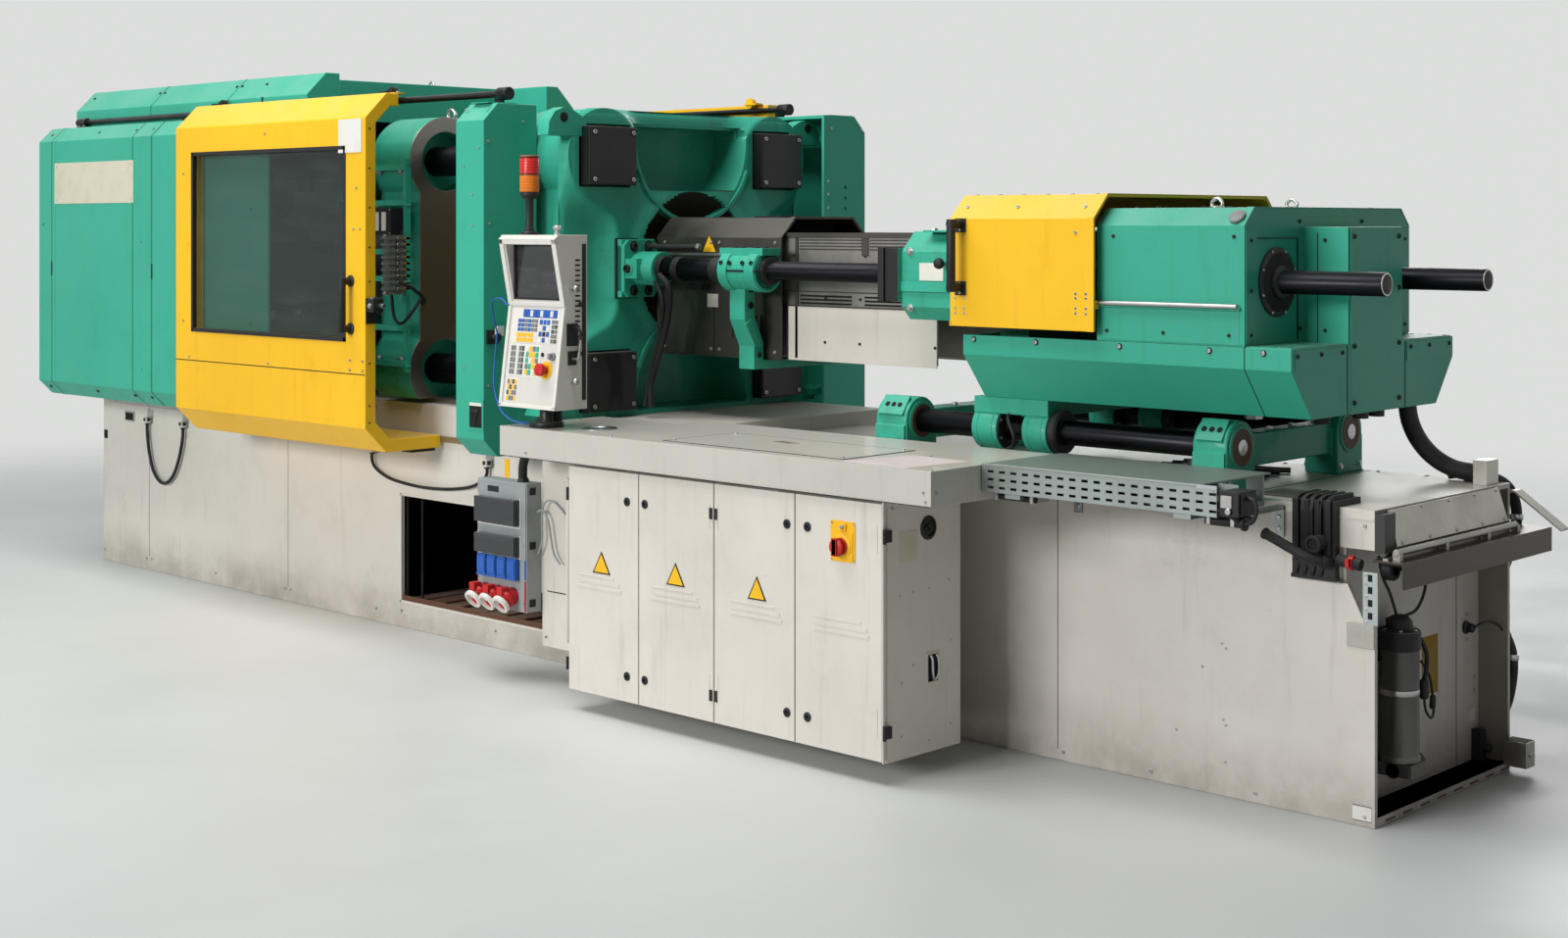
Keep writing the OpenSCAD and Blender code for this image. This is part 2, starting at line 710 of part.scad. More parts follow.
ring_x0 = 773;
ring_x1 = 945;
sleeve_x0 = rib_x1 + 30;
sleeve_x1 = 860;
ring_d = 130;
arm_x0 = 790;
arm_x1 = sleeve_x1;
socket_x1 = rib_x1 + 156;
socket_d = 116;
bracket_t = 30;
bracket_hw = 78;
bracket_hh = 100;
arm_out = 24;
arm_foot_out = 12;
arm_bend_z = axis_z - 160;
arm_low_z = axis_z - 250;
yoke_t = 30;

module traverse_rods() color(black) both_sides() {
  bar_x(sleeve_x0, sleeve_x1, -rod_y, axis_z, rod_sleeve_d);
  bar_x(sleeve_x1 - eps, rod_end, -rod_y, axis_z, rod_d);
}

// Flanged sockets on the fixed platen, and the two clamp rings with the yoke under the nozzle guard
module rod_brackets() color(teal) {
  both_sides() {
    difference() {
      union() {
        block([rib_x1, -rod_y - bracket_hw, axis_z - bracket_hh],
          [rib_x1 + bracket_t, -rod_y + bracket_hw, axis_z + bracket_hh]);
        bar_x(rib_x1 + bracket_t - eps, socket_x1, -rod_y, axis_z, socket_d);
      }
      bar_x(sleeve_x0, socket_x1 + eps, -rod_y, axis_z, rod_sleeve_d + 2 * run_gap);
    }
    difference() {
      bar_x(ring_x0, ring_x1, -rod_y, axis_z, ring_d);
      bar_x(ring_x0 - eps, sleeve_x1 + run_gap, -rod_y, axis_z, rod_sleeve_d + 2 * run_gap);
      bar_x(sleeve_x1, ring_x1 + eps, -rod_y, axis_z, rod_d + 2 * run_gap);
    }
  }
  along_x(arm_x0, arm_x1) difference() {
    union() for (s = [-1, 1]) polygon([
      [s * (rod_y + arm_out), axis_z - 50], [s * (rod_y + arm_out), arm_bend_z],
      [s * (guard_hw + arm_foot_out + 46), arm_low_z], [s * (guard_hw + arm_foot_out + 46), guard_z0 - yoke_t],
      [0, guard_z0 - yoke_t], [0, guard_z0],
      [s * (guard_hw + arm_foot_out), guard_z0], [s * (guard_hw + arm_foot_out), arm_low_z + 10],
      [s * (rod_y - arm_out), arm_bend_z + 10], [s * (rod_y - arm_out), axis_z - 50]]);
    for (s = [-1, 1]) translate([s * rod_y, axis_z]) circle(d = ring_d - 4);
  }
}

guard_t = 6;

module nozzle_guard() color([0.30, 0.30, 0.29]) difference() {
  along_x(guard_x0, guard_x1) polygon(roof_outline(guard_hw, guard_z0, guard_z1, guard_c));
  along_x(guard_x0 - eps, guard_x1 + eps)
    polygon(roof_outline(guard_hw - guard_t, guard_z0 - eps, guard_z1 - guard_t,
      guard_c - (2 - sqrt(2)) * guard_t));
}

block_l = [1477, 1598];
block_r = [2597, 2702];
block_hw = 72;
beam_low = 60;
beam_high = 30;

module guide_bars() color(black) both_sides()
  bar_x(block_l[0], block_r[1] - 12, -bar_y, bar_z, bar_d);

module bar_supports() color(teal) {
  both_sides() for (b = [block_l, block_r]) difference() {
    union() {
      block([b[0], -bar_y - block_hw, deck_z], [b[1], -bar_y + block_hw, bar_z]);
      bar_x(b[0], b[1], -bar_y, bar_z, 2 * block_hw);
    }
    bar_x(b[0] - eps, b[1] + eps, -bar_y, bar_z, bar_d + 2 * run_gap);
  }
  for (b = [block_l, block_r])
    block([b[0] + 20, -bar_y + block_hw - eps, bar_z - beam_low],
      [b[1] - 20, bar_y - block_hw + eps, bar_z + beam_high]);
}

collars = [[1840, 1930], [2022, 2106]];
carriage_hw = bar_y + 51;

module carriage() color(teal) difference() {
  union() {
    both_sides() for (c = collars) bar_x(c[0], c[1], -bar_y, bar_z, collar_d);
    block([collars[0][0], -carriage_hw, bar_z + bar_d / 2 + 10], [collars[1][1], carriage_hw, lower_z0]);
  }
  both_sides() bar_x(collars[0][0] - eps, collars[1][1] + eps, -bar_y, bar_z, bar_d + 2 * run_gap);
}

lower_c = 128;

module lower_outline(hw, z0, z1, c) {
  polygon([[-hw, z1], [-hw, z0 + c], [-hw + c * 0.8, z0], [hw - c * 0.8, z0], [hw, z0 + c], [hw, z1]]);
}

module lower_housing() color(teal) difference() {
  along_x(head_x1, unit_x1) lower_outline(rear_hood_hw, lower_z0, seam_z, lower_c);
  difference() {
    along_x(head_x1 + housing_t, unit_x1 - housing_t)
      lower_outline(rear_hood_hw - housing_t, lower_z0 + housing_t, seam_z + eps, lower_c - 5);
    block([hood_end, -rear_hood_hw - eps, seam_z - housing_t],
      [unit_x1, rear_hood_hw + eps, seam_z + 2 * eps]);
  }
}

hood_slot_x0 = slide_hood_x1 - 15;
drive_hw = 150;
drive_z1 = axis_z + 145;
rail_z = axis_z - 67;
hood_wall = 8;
drive_wall = 6;
rear_hood_c = 47;
port_d = 155;
rail_out = 10;
rail_h = 10;

module rear_hood() color(teal) {
  difference() {
    along_x(hood_slot_x0, hood_end) polygon(roof_outline(rear_hood_hw, seam_z, hood_top, rear_hood_c));
    along_x(hood_slot_x0 - eps, hood_end - hood_wall)
      polygon(roof_outline(rear_hood_hw - hood_wall, seam_z - eps, hood_top - hood_wall,
        rear_hood_c - (2 - sqrt(2)) * hood_wall));
    both_sides() bar_x(hood_end - 10, hood_end + eps, -rod_y, axis_z, port_d);
  }
  difference() {
    block([hood_end, -drive_hw, seam_z], [unit_x1 - 3, drive_hw, drive_z1]);
    block([hood_end - eps, -drive_hw + drive_wall, seam_z - eps],
      [unit_x1 - 3 - drive_wall, drive_hw - drive_wall, drive_z1 - drive_wall]);
  }
  both_sides() block([hood_slot_x0, -rear_hood_hw - rail_out, rail_z - rail_h / 2],
    [hood_end - 10, -rear_hood_hw, rail_z + rail_h / 2]);
}

runner_y = rear_hood_hw + rail_out + run_gap;

slide_hood_c = 67;
front_t = 6;
runner_h = 24;

module injection_hood() color(yellow) {
  difference() {
    along_x(unit_x0, slide_hood_x1)
      polygon(roof_outline(slide_hood_hw, slide_hood_z0, slide_hood_top, slide_hood_c));
    along_x(unit_x0 + front_t, slide_hood_x1 + eps)
      polygon(roof_outline(slide_hood_hw - hood_wall, slide_hood_z0 - eps, slide_hood_top - hood_wall,
        slide_hood_c - (2 - sqrt(2)) * hood_wall));
    block([unit_x0 - eps, -head_hw - head_gap, slide_hood_z0 - eps],
      [unit_x0 + front_t + eps, head_hw + head_gap, head_z1 + head_gap]);
  }
  both_sides() block([hood_slot_x0, -slide_hood_hw + hood_wall - eps, rail_z - runner_h / 2],
    [slide_hood_x1, -runner_y, rail_z + runner_h / 2]);
}

handle_x = unit_x0 + 40;
handle_z0 = axis_z - 41;
handle_l = 207;
handle_out = 45;
handle_d = 26;

module hood_handle() color(black) {
  for (z = [handle_z0 + handle_d / 2, handle_z0 + handle_l - handle_d / 2])
    bar_y_axis(handle_x, -slide_hood_hw - handle_out - 7, -slide_hood_hw, z, handle_d);
  translate([handle_x, -slide_hood_hw - handle_out, handle_z0]) cylinder(d = handle_d, h = handle_l);
}

head_hw = 352;
head_gap = 12;
head_z0 = axis_z - 136;
head_z1 = axis_z + 130;
head_low_c = 40;
head_top_c = 60;
seal_hw = 80;
foot_plate_h = 36;
head_x1 = 1880;
seal_x0 = 1513;
housing_t = 12;
foot_x0 = head_x1 + housing_t + run_gap;
foot_x1 = head_x1 + 120;
foot_hw = 292;

module injection_head() color(teal) difference() {
  union() {
    along_x(head_x0, head_x1) polygon([
      [-head_hw, head_z0 + head_low_c], [-head_hw + head_low_c, head_z0], [head_hw - head_low_c, head_z0],
      [head_hw, head_z0 + head_low_c], [head_hw, head_z1 - head_top_c], [head_hw - head_top_c, head_z1],
      [-head_hw + head_top_c, head_z1], [-head_hw, head_z1 - head_top_c]]);
    both_sides() block([seal_x0, -rod_y - seal_hw, axis_z - seal_hw],
      [head_x0, -rod_y + seal_hw, axis_z + seal_hw]);
    block([head_x1 - 40, -foot_hw, head_z0], [foot_x1, foot_hw, head_z0 + foot_plate_h]);
    block([foot_x0, -foot_hw, lower_z0 + housing_t], [foot_x1, foot_hw, head_z0 + eps]);
  }
  bar_x(seal_x0 - eps, head_x1 + eps, 0, axis_z, barrel_d + 2 * run_gap);
  both_sides() bar_x(seal_x0 - eps, head_x1 + eps, -rod_y, axis_z, rod_d + 2 * run_gap);
}

nozzle_x = 220;
barrel_x0 = 500;
taper_l = 120;
tip_l = 30;
nozzle_d = 62;
channel_d = 6;

module barrel() color(steel) difference() {
  union() {
    bar_x(barrel_x0, head_x1, 0, axis_z, barrel_d);
    translate([barrel_x0 - taper_l, 0, axis_z]) rotate([0, 90, 0])
      cylinder(d1 = nozzle_d, d2 = barrel_d, h = taper_l + eps);
    bar_x(nozzle_x + tip_l, barrel_x0 - taper_l + eps, 0, axis_z, nozzle_d);
    translate([nozzle_x, 0, axis_z]) rotate([0, 90, 0]) cylinder(d1 = 24, d2 = nozzle_d, h = tip_l + eps);
  }
  bar_x(barrel_x0 - 40, head_x1 + eps, 0, axis_z, screw_d + 2 * run_gap);
  bar_x(nozzle_x - eps, barrel_x0, 0, axis_z, channel_d);
}

cover_hw = 180;
barrel_cover_x0 = 800;
barrel_cover_t = 4;
barrel_cover_z0 = axis_z - 286;
barrel_cover_z1 = axis_z + 122;

module barrel_cover() color([0.72, 0.72, 0.70]) difference() {
  block([barrel_cover_x0, -cover_hw, barrel_cover_z0], [head_x0, cover_hw, barrel_cover_z1]);
  block([barrel_cover_x0 - eps, -cover_hw + barrel_cover_t, barrel_cover_z0 - eps],
    [head_x0 + eps, cover_hw - barrel_cover_t, barrel_cover_z1 - barrel_cover_t]);
}

screw_x0 = barrel_x0 - 30;
screw_x1 = head_x1 + 80;
screw_pitch = 110;
flight_l = 1320;

module screw() color(steel) {
  translate([screw_x0, 0, axis_z]) rotate([0, 90, 0])
    linear_extrude(flight_l, twist = -360 * flight_l / screw_pitch, slices = 48, convexity = 4)
      translate([6, 0]) circle(r = screw_d / 2 - 6, $fn = 8);
  bar_x(screw_x0 + flight_l - eps, screw_x1, 0, axis_z, screw_d - 14);
}

thrust_x1 = screw_x1 + 300;
thrust_t = 130;
thrust_hw = rod_y + 52;
thrust_hh = 90;
motor_d = 200;

module screw_thrust() color([0.35, 0.37, 0.38]) difference() {
  union() {
    block([screw_x1 + run_gap, -thrust_hw, axis_z - thrust_hh],
      [screw_x1 + thrust_t, thrust_hw, axis_z + thrust_hh]);
    bar_x(screw_x1 + thrust_t - eps, thrust_x1, 0, axis_z, motor_d);
  }
  both_sides() bar_x(screw_x1, screw_x1 + thrust_t + eps, -rod_y, axis_z, rod_d + 2 * run_gap);
}

module operator_door() color(yellow) {
  difference() {
    along_x(door_x0, door_x1)
      polygon(guard_outline(door_y, door_z0, door_z1, door_c, rail_y1 + run_gap, door_top_y, door_t));
    block([window_x0, -door_y - eps, window_z0],
      [window_x0 + window_w, -door_y + door_t + eps, window_z0 + window_h]);
  }
}

module operator_window() color([0.15, 0.20, 0.20])
  block([window_x0, -door_y + 16, window_z0], [window_x0 + window_w, -door_y + 22, window_z0 + window_h]);

wheel_d = 40;
wheel_z = rod_top_z + door_rod_d / 2 + wheel_d / 2 + run_gap;

wheel_w = 16;
wheel_y = rod_top_y - wheel_w / 2;
wheel_inset = 70;
plate_w = 28;

// Top wheels with their angle plates, carried by the door and running on the guide rod
module door_wheels(x0, x1) {
  for (x = [x0 + wheel_inset, x1 - wheel_inset]) {
    bar_y_axis(x, -wheel_y - wheel_w, -wheel_y + eps, wheel_z, wheel_d);
    block([x - plate_w / 2, -door_top_y - 20, door_z1], [x + plate_w / 2, -wheel_y - wheel_w, door_z1 + 10]);
    block([x - plate_w / 2, -wheel_y - wheel_w - 8, door_z1],
      [x + plate_w / 2, -wheel_y - wheel_w, wheel_z + 12]);
  }
}

pull_x = 86;
pull_d = 26;
pull_out = 40;
pull_z0 = door_z0 + 428;
latch_z0 = door_z0 + 506;
latch_h = 36;
latch_l = 16;
pull_l = 195;

// Bow handle on the outer face of a door, the bar parallel to the door edge
module door_pull(x1) {
  for (z = [pull_z0 + pull_d / 2, pull_z0 + pull_l - pull_d / 2])
    bar_y_axis(x1 - pull_x, -door_y - pull_out, -door_y, z, pull_d);
  translate([x1 - pull_x, -door_y - pull_out, pull_z0]) cylinder(d = pull_d, h = pull_l);
}

module operator_fittings() color(black) {
  door_pull(door_x1);
  block([door_x1, -door_y + 8, latch_z0], [door_x1 + latch_l, -door_y + door_t, latch_z0 + latch_h]);
  door_wheels(door_x0, door_x1);
}

module rear_door() color(yellow) mirror([0, 1, 0]) {
  along_x(rear_door_x0, rear_door_x1)
    polygon(guard_outline(door_y, door_z0, door_z1, door_c, rail_y1 + run_gap, door_top_y, door_t));
  door_pull(rear_door_x1);
  door_wheels(rear_door_x0, rear_door_x1);
}

tray_x0 = table_x1 + 4;
tray_x1 = 2905;
tray_y0 = 742;
tray_y1 = 640;
tray_z1 = table_z;
tray_z0 = tray_z1 - 70;
slot_pitch = 38;

// Perforated channel beside the injection base with its lid plate and two arms
module cable_tray() color([0.66, 0.68, 0.69]) {
  difference() {
    block([tray_x0, -tray_y0, tray_z0], [tray_x1, -tray_y1, tray_z1]);
    block([tray_x0 - eps, -tray_y0 + 3, tray_z0 + 3], [tray_x1 + eps, -tray_y1 - 3, tray_z1 + eps]);
    for (r = [0, 1, 2], k = [0:floor((tray_x1 - tray_x0 - 40) / slot_pitch)])
      block([tray_x0 + 20 + k * slot_pitch, -tray_y0 - eps, tray_z0 + 10 + r * 21],
        [tray_x0 + 40 + k * slot_pitch, -tray_y0 + 4, tray_z0 + 17 + r * 21]);
  }
  block([tray_x0, -tray_y0 - 4, tray_z1], [tray_x1 - 60, -inj_base_hw, tray_z1 + 4]);
  for (x = [tray_x0 + 70, tray_x1 - 130]) {
    block([x, -tray_y0 + 10, tray_z0 - 14], [x + 50, -inj_base_hw, tray_z0]);
    block([x, -inj_base_hw - 6, tray_z0 - eps], [x + 50, -inj_base_hw, tray_z1]);
  }
}

saddle_x1 = notch_x0;
saddle_x0 = saddle_x1 - 121;
saddle_t = 16;
saddle_z0 = inj_base_h - 183;
stub_z = inj_base_h - 90;

// Ribbed hose saddle hooked over the front edge of the injection base, with two hose stubs
module hose_manifold() color(black) {
  block([saddle_x0, -inj_base_hw - saddle_t - 6, saddle_z0], [saddle_x1, -inj_base_hw, inj_base_h + saddle_t]);
  block([saddle_x0, -inj_base_hw - eps, inj_base_h], [saddle_x1, -inj_base_hw + 110, inj_base_h + saddle_t]);
  for (k = [0:3]) block([saddle_x0 + 8 + k * 30, -inj_base_hw - saddle_t - 16, saddle_z0 + 60],
    [saddle_x0 + 22 + k * 30, -inj_base_hw - saddle_t, inj_base_h + saddle_t]);
  bar_y_axis(saddle_x1 - 38, -inj_base_hw - 60, -inj_base_hw - saddle_t, stub_z, 40);
}

hose_y = 312;
port_x0 = inj_base_end - 56;
port_x1 = inj_base_end - 16;
port_hw = 36;
port_h = 68;
filter_x = inj_base_end - 33;
filter_y = -190;

module oil_filter() color([0.38, 0.39, 0.40]) {
  translate([filter_x, filter_y, 128]) cylinder(d = 98, h = 290);
  translate([filter_x, filter_y, 417]) cylinder(d = 104, h = 46);
  translate([filter_x, filter_y, 462]) cylinder(d = 60, h = 22);
  block([skin_x0, filter_y - 40, 94], [filter_x + 52, filter_y + 40, 129]);
  block([skin_x0, filter_y - 30, 380], [skin_x0 + 8, filter_y + 30, 440]);
}

end_x = inj_base_end;
hatch_top = inj_base_h - 4;
hatch_low = inj_base_h - 92;
hatch_out = 34;
ledge_out = 86;
ledge_z0 = hatch_low - 94;
ledge_z1 = hatch_low - 28;
flap_z = inj_base_h - 20;
ledge_y0 = 400;
ledge_y1 = 460;

// Sheet parts of the right end: steep hatch, ledge, bracket, flap arm, small box and hose port
module end_plates() color([0.62, 0.62, 0.60]) {
  along_y(-330, 300) polygon([
    [end_x, hatch_top], [end_x + 6, hatch_top], [end_x + hatch_out, hatch_low], [end_x, hatch_low - 30],
    [end_x, hatch_low - 24], [end_x + hatch_out - 7, hatch_low], [end_x, hatch_top - 6]]);
  block([end_x, -inj_base_hw, hatch_low - 12], [end_x + 28, -330, hatch_top - 4]);
  block([end_x, -ledge_y0, ledge_z1 - 6], [end_x + ledge_out, ledge_y1, ledge_z1]);
  block([end_x + ledge_out - 6, -ledge_y0, ledge_z0], [end_x + ledge_out, ledge_y1, ledge_z1]);
  block([notch_x1, -inj_base_hw - 5, notch_z0 - 60], [end_x, -inj_base_hw, notch_z0]);
  block([notch_x2, -inj_base_hw - 5, notch_z0 - eps], [end_x, -inj_base_hw, notch_z1 + 30]);
  along_y(inj_base_hw, inj_base_hw + 44) polygon([
    [end_x - 60, flap_z], [end_x + 14, flap_z], [end_x + 146, flap_z - 94],
    [end_x + 142, flap_z - 100], [end_x + 12, flap_z - 7], [end_x - 60, flap_z - 7]]);
  block([end_x, 345, 20], [end_x + 64, 400, 90]);
  block([port_x0, hose_y - port_hw, inj_base_h], [port_x1, hose_y + port_hw, inj_base_h + port_h]);
}

tank_x0 = inj_x0 + 60;
tank_l = 480;
tank_hw = 330;
tank_z1 = 560;
tank_wall = 8;
motor_x0 = tank_x0 + tank_l + 120;
motor_l = 430;
motor_z = 240;
pump_motor_d = 300;
pump_l = 210;
pump_d = 180;
cradle_hw = 130;
cradle_z1 = 110;

// Oil tank, and the pump with its motor on a cradle, inside the injection base
module pump_unit() color([0.30, 0.36, 0.40]) {
  difference() {
    block([tank_x0, -tank_hw, base_wall], [tank_x0 + tank_l, tank_hw, tank_z1]);
    block([tank_x0 + tank_wall, -tank_hw + tank_wall, base_wall + tank_wall],
      [tank_x0 + tank_l - tank_wall, tank_hw - tank_wall, tank_z1 - tank_wall]);
  }
  bar_x(motor_x0, motor_x0 + motor_l, 0, motor_z, pump_motor_d);
  block([motor_x0 + 20, -cradle_hw, base_wall], [motor_x0 + motor_l - 20, cradle_hw, cradle_z1]);
  bar_x(motor_x0 + motor_l - eps, motor_x0 + motor_l + pump_l, 0, motor_z, pump_d);
}

module panel_base() color(black) {
  translate([panel_x, -pivot_y, table_z - foot_sink]) cylinder(d = panel_foot_d, h = pivot_t + foot_sink);
  translate([panel_x, -pivot_y, table_z + pivot_t - eps])
    cylinder(d = 44, h = panel_z0 - table_z - pivot_t + eps);
}

panel_x0 = panel_x - panel_w / 2;
panel_x1 = panel_x + panel_w / 2;
screen_x0 = panel_x0 + 26;
screen_x1 = panel_x1 - 26;
screen_z0 = panel_fold_z + 20;
screen_z1 = panel_z1 - 28;
screen_y = panel_y0 - 50;

module panel_housing() color(cream) difference() {
  along_x(panel_x0, panel_x1) polygon([
    [-panel_y1, panel_z0], [-panel_y0, panel_z0], [-panel_fold_y, panel_fold_z],
    [-panel_y0, panel_z1 - 10], [-panel_y0 + 10, panel_z1], [-panel_y1, panel_z1]]);
  block([screen_x0, -panel_y0 - eps, screen_z0], [screen_x1, -screen_y, screen_z1]);
  on_keys(stop_x, stop_z) translate([0, 0, -20]) cylinder(d = stem_d + 2 * run_gap, h = 30);
  on_keys(key_x, key_z) translate([0, 0, -20]) cylinder(d = stem_d + 2 * run_gap, h = 30);
}

module panel_screen() color([0.1, 0.1, 0.11])
  block([screen_x0, -screen_y - 6, screen_z0], [screen_x1, -screen_y, screen_z1]);

key_slope = atan((panel_y0 - panel_fold_y) / (panel_fold_z - panel_z0));
function key_face_y(z) =
  panel_fold_y + (panel_y0 - panel_fold_y) * (panel_fold_z - z) / (panel_fold_z - panel_z0);
stop_x = panel_x + 75;
stop_z = panel_z0 + 123;
key_x = panel_x + 101;
key_z = panel_z0 + 166;

stem_d = 24;

// Places a piece on the sloping key face, its own +Z pointing out of the face
module on_keys(x, z) {
  translate([x, -key_face_y(z), z]) rotate([90 - key_slope, 0, 0]) children();
}

module e_stop() color("red") on_keys(stop_x, stop_z) {
  translate([0, 0, -8]) cylinder(d = stem_d, h = 28);
  translate([0, 0, 18]) cylinder(d = 40, h = 16);
}

module key_switch() color(black) on_keys(key_x, key_z) {
  translate([0, 0, -12]) cylinder(d = stem_d, h = 20);
  translate([-3, -9, 8 - eps]) cube([6, 18, 14]);
}

tower_x = panel_x - 85;
tower_y = pivot_y;

module signal_tower() color("red") translate([tower_x, -tower_y, panel_z1]) {
  cylinder(d = 56, h = 10);
  cylinder(d = 26, h = 118);
  translate([0, 0, 116]) cylinder(d = 50, h = 22);
  translate([0, 0, 138 - eps]) cylinder(d = 62, h = 117);
}

// Free cables and the thick hose, each along points chosen by hand
loop_route = [[loop_x0, -gland_y1, gland_z], [-2570, -531, 600], [-2555, -531, 520], [-2520, -531, 440],
  [-2465, -531, 395], [-2405, -531, 395], [-2345, -531, 440], [-2300, -531, 520], [-2276, -531, 600],
  [loop_x1, -gland_y1, gland_z]];
sag_route = [[sag_x0, -gland_y1, gland_z], [-906, -531, 610], [-880, -531, 580], [-800, -531, 552],
  [-700, -531, 540], [-600, -531, 535], [-500, -531, 537], [-400, -531, 545], [-300, -531, 562],
  [-235, -531, 590],
  [-211, -531, 615], [sag_x1, -gland_y1, gland_z]];
hose_d = 50;
hose_route = [
  [2875, 300, 999.7], [2881.1, 303.1, 953.1], [2899.1, 306, 909.7], [2927.7, 308.5, 872.4],
  [2965, 310.4, 843.8], [3008.4, 311.6, 825.8], [3055, 312, 819.7], [3079.7, 312, 819.7]];

loop_d = 14;
sag_d = 12;
down = [0, 0, -1];

module loop_cable() color(black) swept_tube(smooth(loop_route, 2), loop_d, 8, down, -down);
module sag_cable() color(black) swept_tube(smooth(sag_route, 2), sag_d, 8, down, -down);
module rear_hose() color(black) swept_tube(smooth(hose_route, 2), hose_d, 12, down, [1, 0, 0]);

clamp_base();
injection_base();
table_top();
cabinet_body();
socket_box();
cover_operator_side();
cover_far_side();
top_hood();
post_operator_side();
post_far_side();
door_rails();
fixed_platen();
nut_covers();
tie_bars();
end_platen();
clamp_cylinder();
platen_rails();
traverse_rods();
rod_brackets();
nozzle_guard();
guide_bars();
bar_supports();
cable_tray();
hose_manifold();
oil_filter();
end_plates();
pump_unit();
panel_base();
loop_cable();
sag_cable();
rear_hose();
operator_door();
operator_window();
operator_fittings();
rear_door();
moving_platen();
clamp_piston();
ejector();
carriage();
injection_head();
barrel();
barrel_cover();
rear_hood();
lower_housing();
injection_hood();
hood_handle();
screw();
screw_thrust();
cabinet_door_1();
cabinet_door_2();
cabinet_door_3();
cabinet_door_4();
main_switch();
panel_housing();
panel_screen();
signal_tower();
e_stop();
key_switch();
socket_flap_upper();
socket_flap_lower();
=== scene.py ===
import math

import bpy
from mathutils import Matrix, Vector


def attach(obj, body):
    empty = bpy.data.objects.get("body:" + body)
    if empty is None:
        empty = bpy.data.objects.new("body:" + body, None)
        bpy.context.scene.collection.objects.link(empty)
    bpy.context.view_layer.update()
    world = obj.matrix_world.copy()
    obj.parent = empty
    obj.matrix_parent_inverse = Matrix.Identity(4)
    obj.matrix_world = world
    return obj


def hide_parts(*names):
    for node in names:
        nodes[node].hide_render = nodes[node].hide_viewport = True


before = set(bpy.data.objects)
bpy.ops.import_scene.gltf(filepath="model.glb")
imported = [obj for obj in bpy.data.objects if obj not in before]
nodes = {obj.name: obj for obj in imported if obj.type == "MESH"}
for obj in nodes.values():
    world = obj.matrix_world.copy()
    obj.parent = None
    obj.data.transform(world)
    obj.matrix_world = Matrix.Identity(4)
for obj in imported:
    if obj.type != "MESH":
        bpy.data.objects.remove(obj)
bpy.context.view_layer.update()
scene = bpy.context.scene


# Camera, as the photograph was taken
CAMERA_AT = (5.62, -5.115, 1.503)
CAMERA_YAW = 43.65
LENS = 47.475
SHIFT_Y = -0.1563

camera_data = bpy.data.cameras.new("camera")
camera_data.lens = LENS
camera_data.sensor_width = 36.0
camera_data.shift_y = SHIFT_Y
camera_data.clip_start = 0.05
camera_data.clip_end = 200.0
camera = bpy.data.objects.new("camera", camera_data)
camera.location = CAMERA_AT
camera.rotation_euler = (math.radians(90), 0, math.radians(CAMERA_YAW))
scene.collection.objects.link(camera)
scene.camera = camera


def linear(r, g, b):
    """Linear colour of an sRGB triple from 0 to 255."""
    return tuple(((c / 255 + 0.055) / 1.055) ** 2.4 if c > 10 else c / 255 / 12.92
                 for c in (r, g, b)) + (1.0,)


TEAL = (52, 168, 141)
TEAL_DARK = (24, 118, 96)
YELLOW = (244, 190, 26)
YELLOW_DARK = (186, 132, 22)
WHITE = (216, 211, 202)
WHITE_DIRT = (142, 134, 120)
STEEL = (176, 176, 174)
DARK_STEEL = (34, 34, 37)
GREY = (118, 120, 120)
TEAL_GRIME = (34, 66, 56)
WHITE_GRIME = (104, 96, 84)
MACHINED = (150, 148, 142)

MAT = {}


